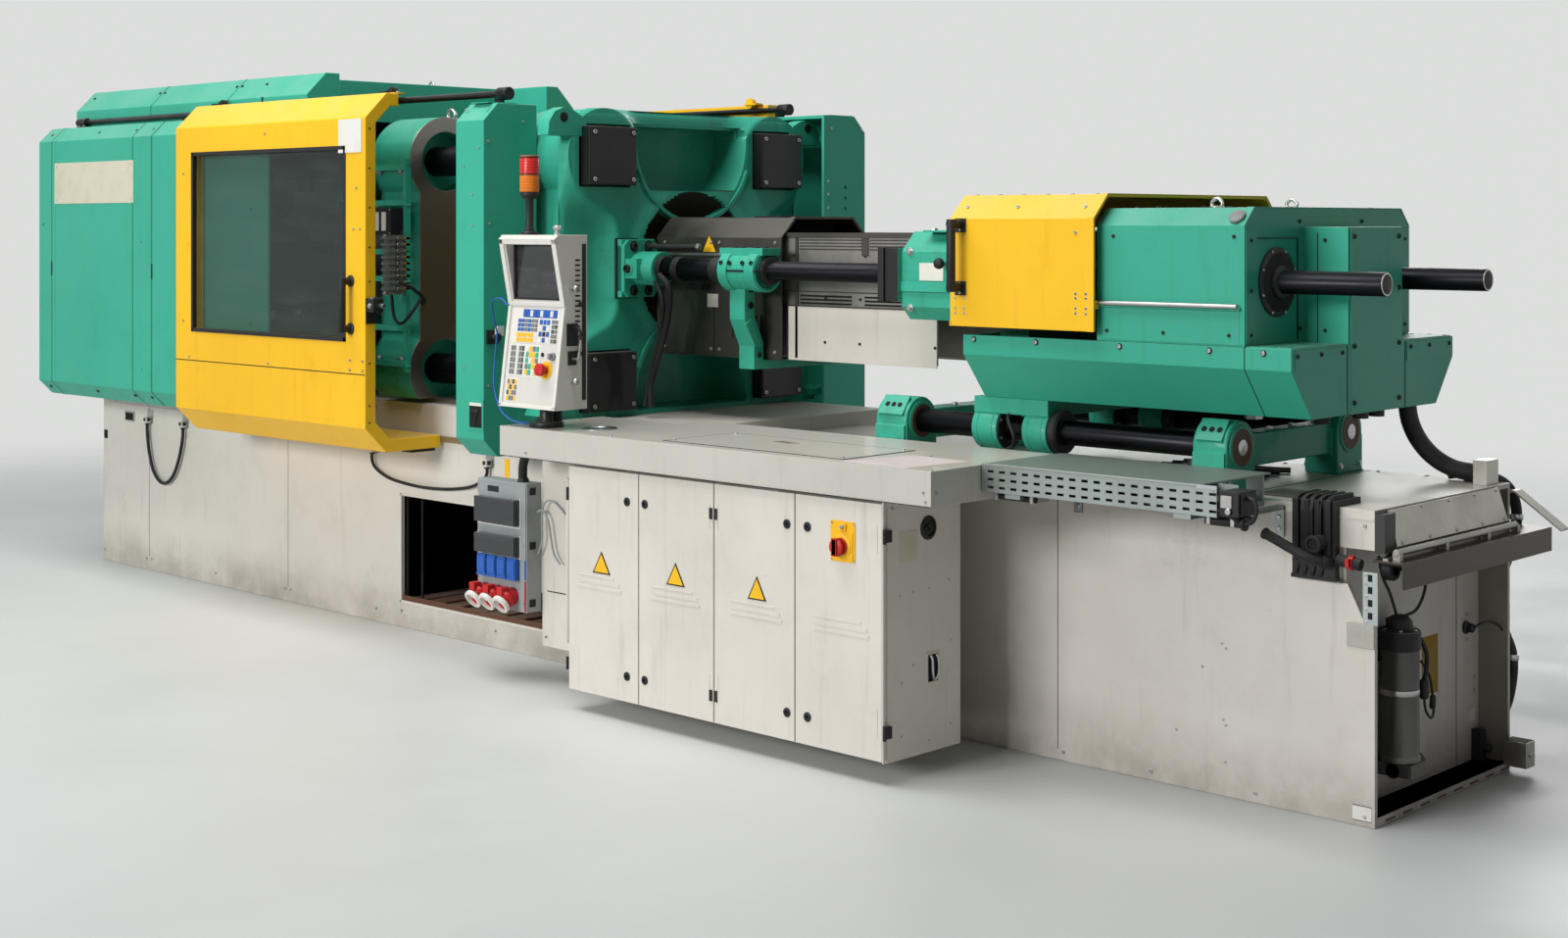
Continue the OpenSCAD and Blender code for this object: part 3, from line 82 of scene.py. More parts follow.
class Material:
    """Node material built step by step; colours are sRGB numbers from 0 to 255. MAT keeps it by its name."""

    def __init__(self, name, base, metallic=0.0, roughness=0.5, coat=0.0, specular=0.5):
        self.name, self.material = name, bpy.data.materials.new(name)
        self.material.use_nodes = True
        self.tree = self.material.node_tree
        self.tree.nodes.clear()
        output = self.add("ShaderNodeOutputMaterial")
        self.shader = self.add("ShaderNodeBsdfPrincipled")
        self.tree.links.new(self.shader.outputs[0], output.inputs[0])
        self.shader.inputs["Coat Weight"].default_value = coat
        self.shader.inputs["Specular IOR Level"].default_value = specular
        self.place = self.add("ShaderNodeTexCoord").outputs["Object"]
        self.colour = base
        self.roughness = roughness
        self.metallic = metallic
        self.normal = None

    def add(self, kind, **settings):
        node = self.tree.nodes.new(kind)
        for key, value in settings.items():
            setattr(node, key, value)
        return node

    def link(self, value, socket):
        if isinstance(value, bpy.types.NodeSocket):
            self.tree.links.new(value, socket)
        elif isinstance(value, tuple):
            socket.default_value = linear(*value)
        else:
            socket.default_value = value

    def node(self, kind, output, inputs, **settings):
        """A node with its inputs linked or set; gives one of its outputs."""
        node = self.add(kind, **settings)
        for key, value in inputs.items():
            self.link(value, node.inputs[key])
        return node.outputs[output]

    def calc(self, operation, *values):
        return self.node("ShaderNodeMath", 0, dict(enumerate(values)), operation=operation)

    def times(self, a, b):
        return self.calc("MULTIPLY", a, b)

    def mix(self, kind, factor, a, b):
        return self.node("ShaderNodeMix", "Result", {"Factor": factor, "A": a, "B": b}, data_type=kind)

    def scaled(self, scale):
        mapping = self.add("ShaderNodeMapping")
        self.link(self.place, mapping.inputs["Vector"])
        mapping.inputs["Scale"].default_value = scale
        return mapping.outputs[0]

    def noise(self, scale, detail=4.0, rough=0.6, stretch=None, seed=0.0):
        place = self.scaled(stretch) if stretch else self.place
        inputs = {"Vector": place, "W": seed, "Scale": scale, "Detail": detail, "Roughness": rough}
        return self.node("ShaderNodeTexNoise", 0, inputs, noise_dimensions="4D")

    def cells(self, scale):
        return self.node("ShaderNodeTexVoronoi", "Distance", {"Vector": self.place, "Scale": scale})

    def ramp(self, value, low, high, out_low=0.0, out_high=1.0):
        inputs = {"Value": value, "From Min": low, "From Max": high, "To Min": out_low, "To Max": out_high}
        return self.node("ShaderNodeMapRange", 0, inputs, interpolation_type="SMOOTHSTEP")

    def axis(self, letter):
        return self.node("ShaderNodeSeparateXYZ", letter, {0: self.place})

    def facing_up(self):
        normal = self.add("ShaderNodeNewGeometry").outputs["Normal"]
        return self.node("ShaderNodeSeparateXYZ", "Z", {0: normal})

    def tint(self, factor, colour):
        """Lays a colour over what is there, by a factor."""
        self.colour = self.mix("RGBA", factor, self.colour, colour)
        return self

    def rough(self, factor, value):
        self.roughness = self.mix("FLOAT", factor, self.roughness, value)
        return self

    def over(self, factor, colour, metallic, roughness):
        """Another finish where the factor is 1."""
        self.metallic = self.mix("FLOAT", factor, self.metallic, metallic)
        return self.tint(factor, colour).rough(factor, roughness)

    def inside(self, x=None, y=None, z=None, mirrored=False):
        """1 between bounds in millimetres and 0 elsewhere; mirrored takes the size of y."""
        factor = 1.0
        for letter, bounds in (("X", x), ("Y", y), ("Z", z)):
            if bounds is None:
                continue
            value = self.axis(letter)
            if letter == "Y" and mirrored:
                value = self.calc("ABSOLUTE", value)
            for bound, operation in zip(bounds, ("GREATER_THAN", "LESS_THAN")):
                factor = self.times(factor, self.calc(operation, value, bound * 0.001))
        return factor

    def bump(self, height, strength, distance):
        inputs = {"Height": height, "Strength": strength, "Distance": distance}
        if self.normal is not None:
            inputs["Normal"] = self.normal
        self.normal = self.node("ShaderNodeBump", 0, inputs)
        return self

    def done(self, more=None):
        if more:
            more(self)
        self.link(self.colour, self.shader.inputs["Base Color"])
        self.link(self.roughness, self.shader.inputs["Roughness"])
        self.link(self.metallic, self.shader.inputs["Metallic"])
        if self.normal is not None:
            self.link(self.normal, self.shader.inputs["Normal"])
        MAT[self.name] = self.material
        return self.material


def paint(name, base, shade, dirt, roughness=0.42, chips=0.5, coat=0.08, seed=0.0, more=None):
    """Sprayed machine paint: mottled, dusty on top, streaked and smudged, with small chips."""
    m = Material(name, base, roughness=roughness, coat=coat, specular=0.3)
    m.tint(m.ramp(m.noise(1.1, 5, seed=seed), 0.35, 0.75, 0.0, 0.20), shade)
    m.tint(m.ramp(m.noise(7.0, 6, 0.7, seed=seed + 1), 0.45, 0.8, 0.0, 0.14), shade)
    streaks = m.noise(3.0, 5, 0.65, stretch=(9.0, 9.0, 0.6), seed=seed + 2)
    m.tint(m.ramp(streaks, 0.55, 0.82, 0.0, 0.28), dirt)
    smudges = m.noise(2.3, 8, 0.75, seed=seed + 3)
    m.tint(m.ramp(smudges, 0.58, 0.78, 0.0, 0.30), dirt)
    dust = m.ramp(m.noise(5.0, 6, seed=seed + 4), 0.3, 0.75, 0.05, 0.32)
    m.tint(m.times(m.ramp(m.facing_up(), 0.5, 0.95), dust), (196, 190, 178))
    patchy = m.ramp(m.noise(3.5, 3, seed=seed + 5), 0.56, 0.62)
    spots = m.times(m.ramp(m.cells(26.0), 0.02, 0.055, 1.0, 0.0), patchy)
    m.tint(m.times(spots, chips), (60, 52, 44))
    m.rough(m.ramp(smudges, 0.4, 0.8), roughness + 0.2)
    m.bump(m.noise(420.0, 2), 0.06, 0.0006)
    m.bump(m.noise(5.0, 3, seed=seed + 6), 0.05, 0.01)
    return m.done(more)


def casting(name, base, shade, dirt, seed=0.0, more=None):
    """Painted casting: rough skin under the paint, oil and grime in patches."""
    m = Material(name, base, roughness=0.46, coat=0.10, specular=0.3)
    m.tint(m.ramp(m.noise(1.6, 6, 0.7, seed=seed), 0.4, 0.75, 0.0, 0.35), shade)
    m.tint(m.ramp(m.noise(6.0, 8, 0.75, seed=seed + 1), 0.5, 0.75, 0.0, 0.40), dirt)
    streaks = m.noise(3.5, 5, 0.7, stretch=(8.0, 8.0, 0.5), seed=seed + 2)
    m.tint(m.ramp(streaks, 0.55, 0.8, 0.0, 0.40), dirt)
    m.rough(m.ramp(m.noise(4.0, 5, seed=seed + 3), 0.4, 0.7), 0.62)
    m.bump(m.noise(95.0, 5, 0.7), 0.28, 0.0025)
    m.bump(m.noise(9.0, 3), 0.10, 0.012)
    return m.done(more)


def metal(name, base, dark, roughness=0.32, grain=(1.0, 1.0, 60.0), seed=0.0, wear=0.35, more=None):
    """Bare metal with fine working marks, stains and scratches."""
    m = Material(name, base, metallic=1.0, roughness=roughness)
    marks = m.noise(22.0, 6, 0.8, stretch=grain, seed=seed)
    m.tint(m.ramp(m.noise(2.4, 6, 0.7, seed=seed + 1), 0.4, 0.75, 0.0, wear), dark)
    m.tint(m.ramp(marks, 0.35, 0.75, 0.0, 0.18), dark)
    m.rough(m.ramp(m.noise(5.0, 6, seed=seed + 2), 0.35, 0.75), roughness + 0.22)
    m.bump(marks, 0.08, 0.0008)
    return m.done(more)


def plastic(name, base, shade, roughness=0.5, grain=260.0, seed=0.0, more=None):
    """Moulded plastic or rubber with a fine grain and handling marks."""
    m = Material(name, base, roughness=roughness, specular=0.35)
    m.tint(m.ramp(m.noise(9.0, 6, 0.7, seed=seed), 0.45, 0.78, 0.0, 0.35), shade)
    dust = m.ramp(m.noise(14.0, 4, seed=seed + 1), 0.3, 0.8, 0.0, 0.25)
    m.tint(m.times(m.ramp(m.facing_up(), 0.4, 0.95), dust), (120, 116, 108))
    m.rough(m.ramp(m.noise(12.0, 5, seed=seed + 2), 0.35, 0.7), min(roughness + 0.2, 1.0))
    m.bump(m.noise(grain, 3), 0.15, 0.0006)
    return m.done(more)


def glazing(name, base, roughness):
    """Dark glossy pane with wiped smears."""
    m = Material(name, base, roughness=roughness, coat=0.25, specular=0.5)
    smears = m.noise(3.0, 6, 0.7, stretch=(1.5, 1.5, 5.0))
    m.tint(m.ramp(smears, 0.45, 0.8, 0.0, 0.30), (120, 130, 126))
    m.rough(m.ramp(smears, 0.4, 0.8), roughness + 0.22)
    m.bump(m.noise(2.0, 2), 0.03, 0.01)
    return m.done()


paint("green_paint", TEAL, TEAL_DARK, (44, 92, 78), seed=1)
casting("green_casting", TEAL, TEAL_DARK, TEAL_GRIME, seed=2)
paint("yellow_paint", YELLOW, YELLOW_DARK, (128, 92, 30), seed=3, chips=0.8)
paint("white_paint", WHITE, WHITE_DIRT, WHITE_GRIME, seed=4, chips=0.8, coat=0.05)
paint("grey_paint", GREY, (82, 84, 84), (60, 58, 52), seed=5)
paint("dark_grey_paint", (74, 76, 78), (44, 46, 48), (40, 38, 34), seed=6)
paint("black_paint", (17, 17, 18), (9, 9, 10), (70, 66, 58), seed=7, chips=0.2)
plastic("black_plastic", (22, 22, 24), (12, 12, 13), 0.48, seed=8)
plastic("hose_rubber", (24, 24, 25), (46, 44, 40), 0.55, 380.0, seed=9)
metal("ground_steel", STEEL, (84, 82, 78), 0.26, (60.0, 1.0, 1.0), seed=10)
metal("stainless_sheet", MACHINED, (70, 68, 62), 0.36, (1.0, 40.0, 1.0), seed=11)
metal("smoked_sheet", (84, 82, 77), (30, 28, 25), 0.40, (40.0, 1.0, 1.0), seed=12)
metal("galvanised", (158, 165, 164), (128, 132, 134), 0.42, (1.0, 1.0, 1.0), seed=13)
metal("dark_steel", DARK_STEEL, (18, 18, 20), 0.30, (60.0, 1.0, 1.0), seed=14)
glazing("screen_glass", (44, 46, 48), 0.10)
plastic("signal_red", (190, 32, 26), (120, 16, 14), 0.30, 120.0, seed=15)
plastic("signal_orange", (226, 128, 22), (150, 74, 12), 0.30, 120.0, seed=16)
plastic("blue_plastic", (40, 92, 176), (22, 50, 110), 0.42, seed=17)
plastic("light_plastic", (222, 220, 212), (176, 172, 162), 0.46, seed=18)
plastic("cream_label", (206, 202, 182), (160, 152, 130), 0.55, seed=19)
# Near black that stands for painted shade inside holes, slots, recesses and under louvre slats; the same
# colour also draws the dark seams
plastic("recess_shade_and_seams", (16, 17, 17), (8, 8, 8), 0.8, seed=20)
metal("brass", (190, 150, 70), (110, 80, 34), 0.34, seed=21)


FRONT, BACK, LEFT, RIGHT, UP, DOWN = (0, -1, 0), (0, 1, 0), (-1, 0, 0), (1, 0, 0), (0, 0, 1), (0, 0, -1)
SLANT_LOW, SLANT_HIGH = (0, -0.7071, -0.7071), (0, -0.7071, 0.7071)
AXIS_Z, ROD_Y = 1350, 288
DECK_Z, TABLE_Z = 790, 857


def round_edges(obj, width, angle):
    """Bevel, in millimetres, of the edges that are sharper than an angle in degrees."""
    edges = obj.modifiers.new("edges", "BEVEL")
    edges.width = width * 0.001
    edges.segments = 2
    edges.limit_method = "ANGLE"
    edges.angle_limit = math.radians(angle)
    edges.harden_normals = True


class Piece:
    """Shapes in one mesh, given in millimetres in the row frame, riding on one body."""

    def __init__(self, name, body, *materials, slot=None, bevel=0.8):
        self.name, self.body, self.slot, self.bevel = name, body, slot or materials[0], bevel
        self.materials = [MAT[m] for m in materials]
        self.verts, self.faces, self.marks = [], [], []
        self.place = Matrix.Identity(4)

    def at(self, origin=(0, 0, 0), x=(1, 0, 0), y=(0, 1, 0), z=(0, 0, 1)):
        """Later shapes are given in this frame."""
        self.place = Matrix((x, y, z)).transposed().to_4x4()
        self.place.translation = Vector(origin)
        return self

    def mirror(self, side):
        """Later shapes are given for the operator side, and go to the far side where side is -1."""
        return self.at(y=(0, side, 0))

    def each(self, shape, points, *rest):
        """The shape of one of the methods below at each point."""
        for point in points:
            getattr(self, shape)(point, *rest)
        return self

    def grid(self, shape, x, y, z, *rest):
        """The same at every point of a grid; each coordinate is one number or several."""
        xs, ys, zs = ([c] if isinstance(c, (int, float)) else c for c in (x, y, z))
        return self.each(shape, [(a, b, c) for a in xs for b in ys for c in zs], *rest)

    def add(self, verts, faces, mat=0):
        first = len(self.verts)
        if self.place.determinant() < 0:
            faces = [tuple(face)[::-1] for face in faces]
        self.verts += [self.place @ Vector(v) for v in verts]
        self.faces += [[first + i for i in face] for face in faces]
        self.marks += [mat] * len(faces)
        return self

    def box(self, lo, hi, mat=0):
        (a, b, c), (d, e, f) = lo, hi
        verts = [(x, y, z) for x in (a, d) for y in (b, e) for z in (c, f)]
        return self.add(verts, [(0, 1, 3, 2), (4, 6, 7, 5), (0, 4, 5, 1), (2, 3, 7, 6), (0, 2, 6, 4),
                                (1, 5, 7, 3)], mat)

    def row(self, count, step, lo, hi, mat=0):
        """Equal boxes, each moved on by a step from the one before."""
        for k in range(count):
            self.box(*([a + k * s for a, s in zip(corner, step)] for corner in (lo, hi)), mat)
        return self

    def frame(self, low, high, y0, y1, wide, mat=0, tall=None):
        """Four bars in the (x, z) plane: the lower and the upper one, tall high, then the sides, wide."""
        (x0, z0), (x1, z1), tall = low, high, tall or wide
        self.box((x0, y0, z0), (x1, y1, z0 + tall), mat)
        self.box((x0, y0, z1 - tall), (x1, y1, z1), mat)
        self.box((x0, y0, z0), (x0 + wide, y1, z1), mat)
        return self.box((x1 - wide, y0, z0), (x1, y1, z1), mat)

    def prism(self, outline, axis, a, b, mat=0):
        """An outline pushed from a to b along an axis: x takes (y, z), y takes (x, z), z takes (x, y)."""
        def put(p, t):
            return {"x": (t, *p), "y": (p[0], t, p[1]), "z": (*p, t)}[axis]

        n = len(outline)
        turn = sum(p[0] * q[1] - q[0] * p[1] for p, q in zip(outline, outline[1:] + outline[:1]))
        if (turn > 0) == (axis == "y"):
            outline = outline[::-1]
        if a > b:
            a, b = b, a
        verts = [put(p, a) for p in outline] + [put(p, b) for p in outline]
        sides = [(i, (i + 1) % n, n + (i + 1) % n, n + i) for i in range(n)]
        return self.add(verts, [tuple(range(n - 1, -1, -1)), tuple(range(n, 2 * n))] + sides, mat)

    def lathe(self, centre, axis, profile, mat=0, sides=20):
        """A profile of (radius, height) turned round an axis through a centre, with flat ends."""
        axis = Vector(axis).normalized()
        side = axis.orthogonal().normalized()
        other = axis.cross(side)
        centre = Vector(centre)
        verts, faces = [], []
        for r, h in profile:
            for k in range(sides):
                t = 2 * math.pi * (k + 0.5) / sides
                verts.append(centre + axis * h + (side * math.cos(t) + other * math.sin(t)) * r)
        for row in range(len(profile) - 1):
            for k in range(sides):
                a, b = row * sides + k, row * sides + (k + 1) % sides
                faces.append((a, b, b + sides, a + sides))
        faces.append(tuple(range(sides - 1, -1, -1)))
        last = (len(profile) - 1) * sides
        faces.append(tuple(range(last, last + sides)))
        return self.add(verts, faces, mat)

    def cap(self, centre, axis, radius, height, top_radius, top, mat=0, sides=20):
        """A short round body, chamfered from its height up to its top."""
        return self.lathe(centre, axis, [(radius, 0), (radius, height), (top_radius, top)], mat, sides)

    def rod(self, a, b, radius, mat=0, sides=16, edge=1.0):
        a, b = Vector(a), Vector(b)
        h = (b - a).length
        edge = min(edge, radius / 2, h / 3)
        profile = [(radius - edge, 0), (radius, edge), (radius, h - edge), (radius - edge, h)]
        return self.lathe(a, b - a, profile, mat, sides)

    def band(self, outline, x0, x1, lift, mat=0):
        """A strip from x0 to x1 laid on an open (y, z) outline, proud of it away from the machine's axis."""
        points = [Vector(p) for p in outline]
        middle = points[len(points) // 2 - 1].lerp(points[len(points) // 2], 0.5)
        along = (points[len(points) // 2] - points[len(points) // 2 - 1]).normalized()
        away = 1.0 if Vector((along.y, -along.x)).dot(middle - Vector((0, AXIS_Z))) > 0 else -1.0
        proud = [p + push * lift for p, push in zip(points, self.pushes(points, away))]
        sunk = [p - push * 0.5 for p, push in zip(points, self.pushes(points, away))]
        for a in range(len(points) - 1):
            loop = [sunk[a], sunk[a + 1], proud[a + 1], proud[a]]
            self.prism([tuple(p) for p in loop], "x", x0, x1, mat)
        return self

    @staticmethod
    def pushes(points, away):
        """Outward push at every point of an open outline, mitred at its corners."""
        sides = []
        for a, b in zip(points, points[1:]):
            along = (b - a).normalized()
            sides.append(Vector((along.y, -along.x)) * away)
        out = []
        for before, after in zip([sides[0]] + sides, sides + [sides[-1]]):
            push = (before + after).normalized()
            out.append(push / max(push.dot(before), 0.3))
        return out

    def ribbon(self, line, axis, a, b, thickness, mat=0):
        """A sheet of one thickness bent along an open line, from a to b across it."""
        points = [Vector(p) for p in line]
        pushes = self.pushes(points, 1.0)
        for k in range(len(points) - 1):
            loop = [points[k] - pushes[k] * thickness / 2, points[k + 1] - pushes[k + 1] * thickness / 2,
                    points[k + 1] + pushes[k + 1] * thickness / 2, points[k] + pushes[k] * thickness / 2]
            self.prism([tuple(p) for p in loop], axis, a, b, mat)
        return self

    def screw(self, centre, normal, r, mat=0):
        """Socket head: a chamfered rim round a recess."""
        profile = [(r, 0), (r, r * 0.5), (r * 0.88, r * 0.62), (r * 0.52, r * 0.62), (r * 0.48, r * 0.2)]
        return self.lathe(centre, normal, profile, mat, 12)

    def washer(self, centre, normal, r, mat=0):
        """Hexagon head on its washer."""
        self.cap(centre, normal, r * 1.25, r * 0.16, r * 1.15, r * 0.2, mat, 16)
        return self.cap(centre, normal, r, r * 0.66, r * 0.86, r * 0.78, mat, 6)

    def pipe(self, points, radius, mat=0, sides=10, steps=5):
        line = smooth(points, steps)
        verts, faces = tube_mesh(line, radius, sides)
        return self.add(verts, faces, mat)

    def done(self, shade=38):
        mesh = bpy.data.meshes.new(self.name)
        mesh.from_pydata([v * 0.001 for v in self.verts], [], self.faces)
        for m in self.materials:
            mesh.materials.append(m)
        mesh.polygons.foreach_set("material_index", self.marks)
        mesh.polygons.foreach_set("use_smooth", [True] * len(mesh.polygons))
        mesh.set_sharp_from_angle(angle=math.radians(shade))
        mesh.validate()
        obj = bpy.data.objects.new(self.name, mesh)
        scene.collection.objects.link(obj)
        if self.bevel:
            round_edges(obj, self.bevel, shade)
        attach(obj, self.body)
        return obj


def smooth(points, steps):
    """Points on a curve through the given ones, steps on each stretch."""
    pts = [Vector(p) for p in points]
    if len(pts) < 3:
        return pts
    out = []
    for i in range(len(pts) - 1):
        p1, p2 = pts[i], pts[i + 1]
        p0, p3 = pts[max(i - 1, 0)], pts[min(i + 2, len(pts) - 1)]
        for s in range(steps):
            t = s / steps
            out.append(0.5 * (2 * p1 + (p2 - p0) * t + (2 * p0 - 5 * p1 + 4 * p2 - p3) * t * t
                              + (3 * p1 - p0 - 3 * p2 + p3) * t ** 3))
    return out + [pts[-1]]


def ring(count, radius, start=0):
    """Offsets of points spaced evenly round a circle, from a start angle in degrees."""
    angles = [math.radians(start + 360 / count * k) for k in range(count)]
    return [(radius * math.cos(a), radius * math.sin(a)) for a in angles]


def tube_mesh(line, radius, sides):
    """Round tube along a line of points; the section is carried along without a twist."""
    tangents = [(line[min(i + 1, len(line) - 1)] - line[max(i - 1, 0)]).normalized()
                for i in range(len(line))]
    side = tangents[0].orthogonal().normalized()
    verts, faces = [], []
    for i, (p, t) in enumerate(zip(line, tangents)):
        side = (side - t * side.dot(t)).normalized()
        other = t.cross(side)
        for k in range(sides):
            a = 2 * math.pi * k / sides
            verts.append(p + (side * math.cos(a) + other * math.sin(a)) * radius)
    for i in range(len(line) - 1):
        for k in range(sides):
            a, b = i * sides + k, i * sides + (k + 1) % sides
            faces.append((a, b, b + sides, a + sides))
    faces.append(tuple(range(sides - 1, -1, -1)))
    last = (len(line) - 1) * sides
    faces.append(tuple(range(last, last + sides)))
    return verts, faces


# Free cables, along the same points as their solids
LOOP_ROUTE = [(-2570, -531, 640), (-2570, -531, 600), (-2555, -531, 520), (-2520, -531, 440),
              (-2465, -531, 395), (-2405, -531, 395), (-2345, -531, 440), (-2300, -531, 520),
              (-2276, -531, 600), (-2276, -531, 640)]
SAG_ROUTE = [(-906, -531, 640), (-906, -531, 610), (-880, -531, 580), (-800, -531, 552), (-700, -531, 540),
             (-600, -531, 535), (-500, -531, 537), (-400, -531, 545), (-300, -531, 562), (-235, -531, 590),
             (-211, -531, 615), (-211, -531, 640)]
HOSE_ROUTE = [(2875, 300, 999.7), (2881.1, 303.1, 953.1), (2899.1, 306, 909.7), (2927.7, 308.5, 872.4),
              (2965, 310.4, 843.8), (3008.4, 311.6, 825.8), (3055, 312, 819.7), (3079.7, 312, 819.7)]


def free_cord(name, node, route, diameter, last, material="hose_rubber"):
    """Tube along a route that starts downwards and ends in the direction last."""
    line = [p * 0.001 for p in smooth(route, 4)]
    line.insert(1, line[0] + Vector((0, 0, -0.002)))
    line.insert(-1, line[-1] - Vector(last) * 0.002)
    curve = bpy.data.curves.new(name, "CURVE")
    curve.dimensions = "3D"
    curve.bevel_depth = diameter / 2
    curve.bevel_resolution = 4
    curve.use_fill_caps = True
    spline = curve.splines.new("POLY")
    spline.points.add(len(line) - 1)
    for point, p in zip(spline.points, line):
        point.co = (*p, 1)
    curve.materials.append(MAT[material])
    obj = bpy.data.objects.new(name, curve)
    scene.collection.objects.link(obj)
    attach(obj, "root")
    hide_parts(node)
    return obj


free_cord("looped_cable", "loop_cable", LOOP_ROUTE, 0.014, UP)
free_cord("hanging_cable", "sag_cable", SAG_ROUTE, 0.012, UP)
free_cord("thick_hose", "rear_hose", HOSE_ROUTE, 0.050, RIGHT)


# Finishes that one CAD solid needs for itself
def patches(*rows):
    """Steps for a material: each row is a block in millimetres, a colour, metallic and roughness."""
    def more(m):
        for block, colour, metallic, roughness in rows:
            m.over(m.inside(**block), colour, metallic, roughness)
    return more


def base_finish(name, seed, most, block, colour, roughness):
    """White base with dirt towards the floor and painted shade in its hollow: a darker colour there, with
    its own roughness.
    """
    def more(m):
        low = m.ramp(m.axis("Z"), 0.0, 0.22, 1.0, 0.0)
        patchy = m.ramp(m.noise(4.0, 6, 0.7, seed=seed - 2), 0.3, 0.7, 0.1, most)
        m.tint(m.times(low, patchy), (110, 100, 86))
        # Painted shade: the hollow inside the base gets a dark colour where shade falls
        m.over(m.inside(mirrored=True, **block), colour, 0.0, roughness)
    paint(name, WHITE, WHITE_DIRT, WHITE_GRIME, seed=seed, chips=0.9, coat=0.05, more=more)


# Painted shade: near black inside the clamp base, a darker white in the end recess of the injection base
base_finish("clamp_base", 33, 0.6, dict(x=(-2968, 748), y=(-1, 502), z=(2, 838)), (30, 31, 30), 0.8)
base_finish("injection_base", 34, 0.55, dict(x=(3051, 3138), y=(-1, 372), z=(23, 777)),
            (140, 136, 126), 0.6)
casting("fixed_platen", TEAL, TEAL_DARK, TEAL_GRIME, seed=35, more=patches(
    (dict(x=(-5, 3)), MACHINED, 1.0, 0.35),
    (dict(x=(3, 288), y=(-1, 275), z=(1075, 1625), mirrored=True), (46, 36, 28), 0.0, 0.7)))
casting("moving_platen", TEAL, TEAL_DARK, TEAL_GRIME, seed=36,
        more=patches((dict(x=(-603, -590)), MACHINED, 1.0, 0.35)))
casting("injection_head", TEAL, TEAL_DARK, TEAL_GRIME, seed=37,
        more=patches((dict(x=(1500, 1566.5)), (20, 20, 21), 0.0, 0.45)))
metal("door_rails", (48, 48, 50), (20, 20, 22), 0.3, seed=38,
      more=patches((dict(z=(700, 735)), (168, 166, 160), 1.0, 0.4)))
plastic("socket_box", (150, 156, 156), (96, 98, 96), 0.5, seed=39, more=patches(
    (dict(x=(150, 210), y=(-813, -811), z=(614, 634)), (26, 27, 29), 0.0, 0.4),
    (dict(y=(-845, -812.5), z=(340, 403)), (30, 92, 176), 0.0, 0.4),
    (dict(y=(-880, -812.5), z=(236, 336)), (176, 26, 40), 0.0, 0.4)))
plastic("signal_tower", (24, 24, 25), (14, 14, 15), 0.4, seed=40, more=patches(
    (dict(z=(1606, 1722)), (226, 120, 22), 0.0, 0.25),
    (dict(z=(1662, 1716)), (206, 30, 24), 0.0, 0.25),
    (dict(z=(1659, 1664)), (20, 20, 20), 0.0, 0.4)))
metal("cable_tray", (146, 154, 151), (110, 114, 112), 0.42, seed=41,
      more=patches((dict(z=(856.5, 870)), (128, 134, 130), 0.5, 0.5)))
metal("end_plates", (168, 166, 158), (90, 88, 82), 0.34, (1.0, 40.0, 1.0), seed=42, more=patches(
    (dict(x=(3136, 3223), z=(604, 671)), (62, 56, 48), 0.6, 0.35),
    (dict(x=(3060, 3165), y=(-386, -329), z=(640, 800)), (34, 33, 32), 0.0, 0.5)))
metal("filter_grey", (96, 96, 94), (44, 44, 42), 0.34, (1.0, 1.0, 30.0), seed=43)
paint("panel_white", (212, 210, 202), (168, 164, 152), (120, 114, 102), seed=44, chips=0.3, coat=0.2)
metal("heater_band", (120, 112, 100), (60, 52, 44), 0.42, (40.0, 1.0, 1.0), seed=45)
paint("table_top", (196, 193, 184), (140, 136, 126), (96, 92, 84), 0.34, 0.9, 0.2, seed=46)
paint("rusty_brown", (96, 62, 44), (56, 38, 30), (40, 32, 26), 0.6, seed=47)
plastic("ochre_label", (150, 118, 34), (110, 86, 30), 0.6, seed=48)
plastic("yellow_plate", (240, 186, 22), (206, 150, 20), 0.4, seed=49)
plastic("pink_sheet", (216, 204, 202), (196, 186, 182), 0.5, seed=50)
glazing("pane", (46, 60, 56), 0.05)
pane_shader = next(n for n in MAT["pane"].node_tree.nodes if n.type == "BSDF_PRINCIPLED")
pane_shader.inputs["Alpha"].default_value = 0.34
MAT["pane"].surface_render_method = "BLENDED"

# CAD solids by their material, and those with an edge radius of their own in millimetres
LOOKS = {
    "clamp_base": "clamp_base",
    "injection_base": "injection_base",
    "table_top": "table_top",
    "white_paint": "cabinet_body cabinet_door_1 cabinet_door_2 cabinet_door_3 cabinet_door_4",
    "signal_red": "main_switch e_stop",
    "socket_box": "socket_box",
    "screen_glass": "socket_flap_upper socket_flap_lower panel_screen",
    "green_paint": "cover_operator_side cover_far_side top_hood post_operator_side post_far_side "
                   "rear_hood lower_housing",
    "door_rails": "door_rails",
    "fixed_platen": "fixed_platen",
    "moving_platen": "moving_platen",
    "green_casting": "end_platen rod_brackets bar_supports carriage",
    "black_paint": "nut_covers panel_base",
    "dark_steel": "tie_bars traverse_rods guide_bars",
    "dark_grey_paint": "clamp_cylinder",
    "ground_steel": "platen_rails clamp_piston ejector key_switch screw",
    "smoked_sheet": "nozzle_guard",
    "cable_tray": "cable_tray",
    "black_plastic": "hose_manifold operator_fittings hood_handle",
    "filter_grey": "oil_filter",
    "end_plates": "end_plates",
    "grey_paint": "pump_unit screw_thrust",
    "panel_white": "panel_housing",
    "signal_tower": "signal_tower",
    "yellow_paint": "operator_door rear_door injection_hood",
    "pane": "operator_window",
    "injection_head": "injection_head",
    "heater_band": "barrel",
    "stainless_sheet": "barrel_cover",
}
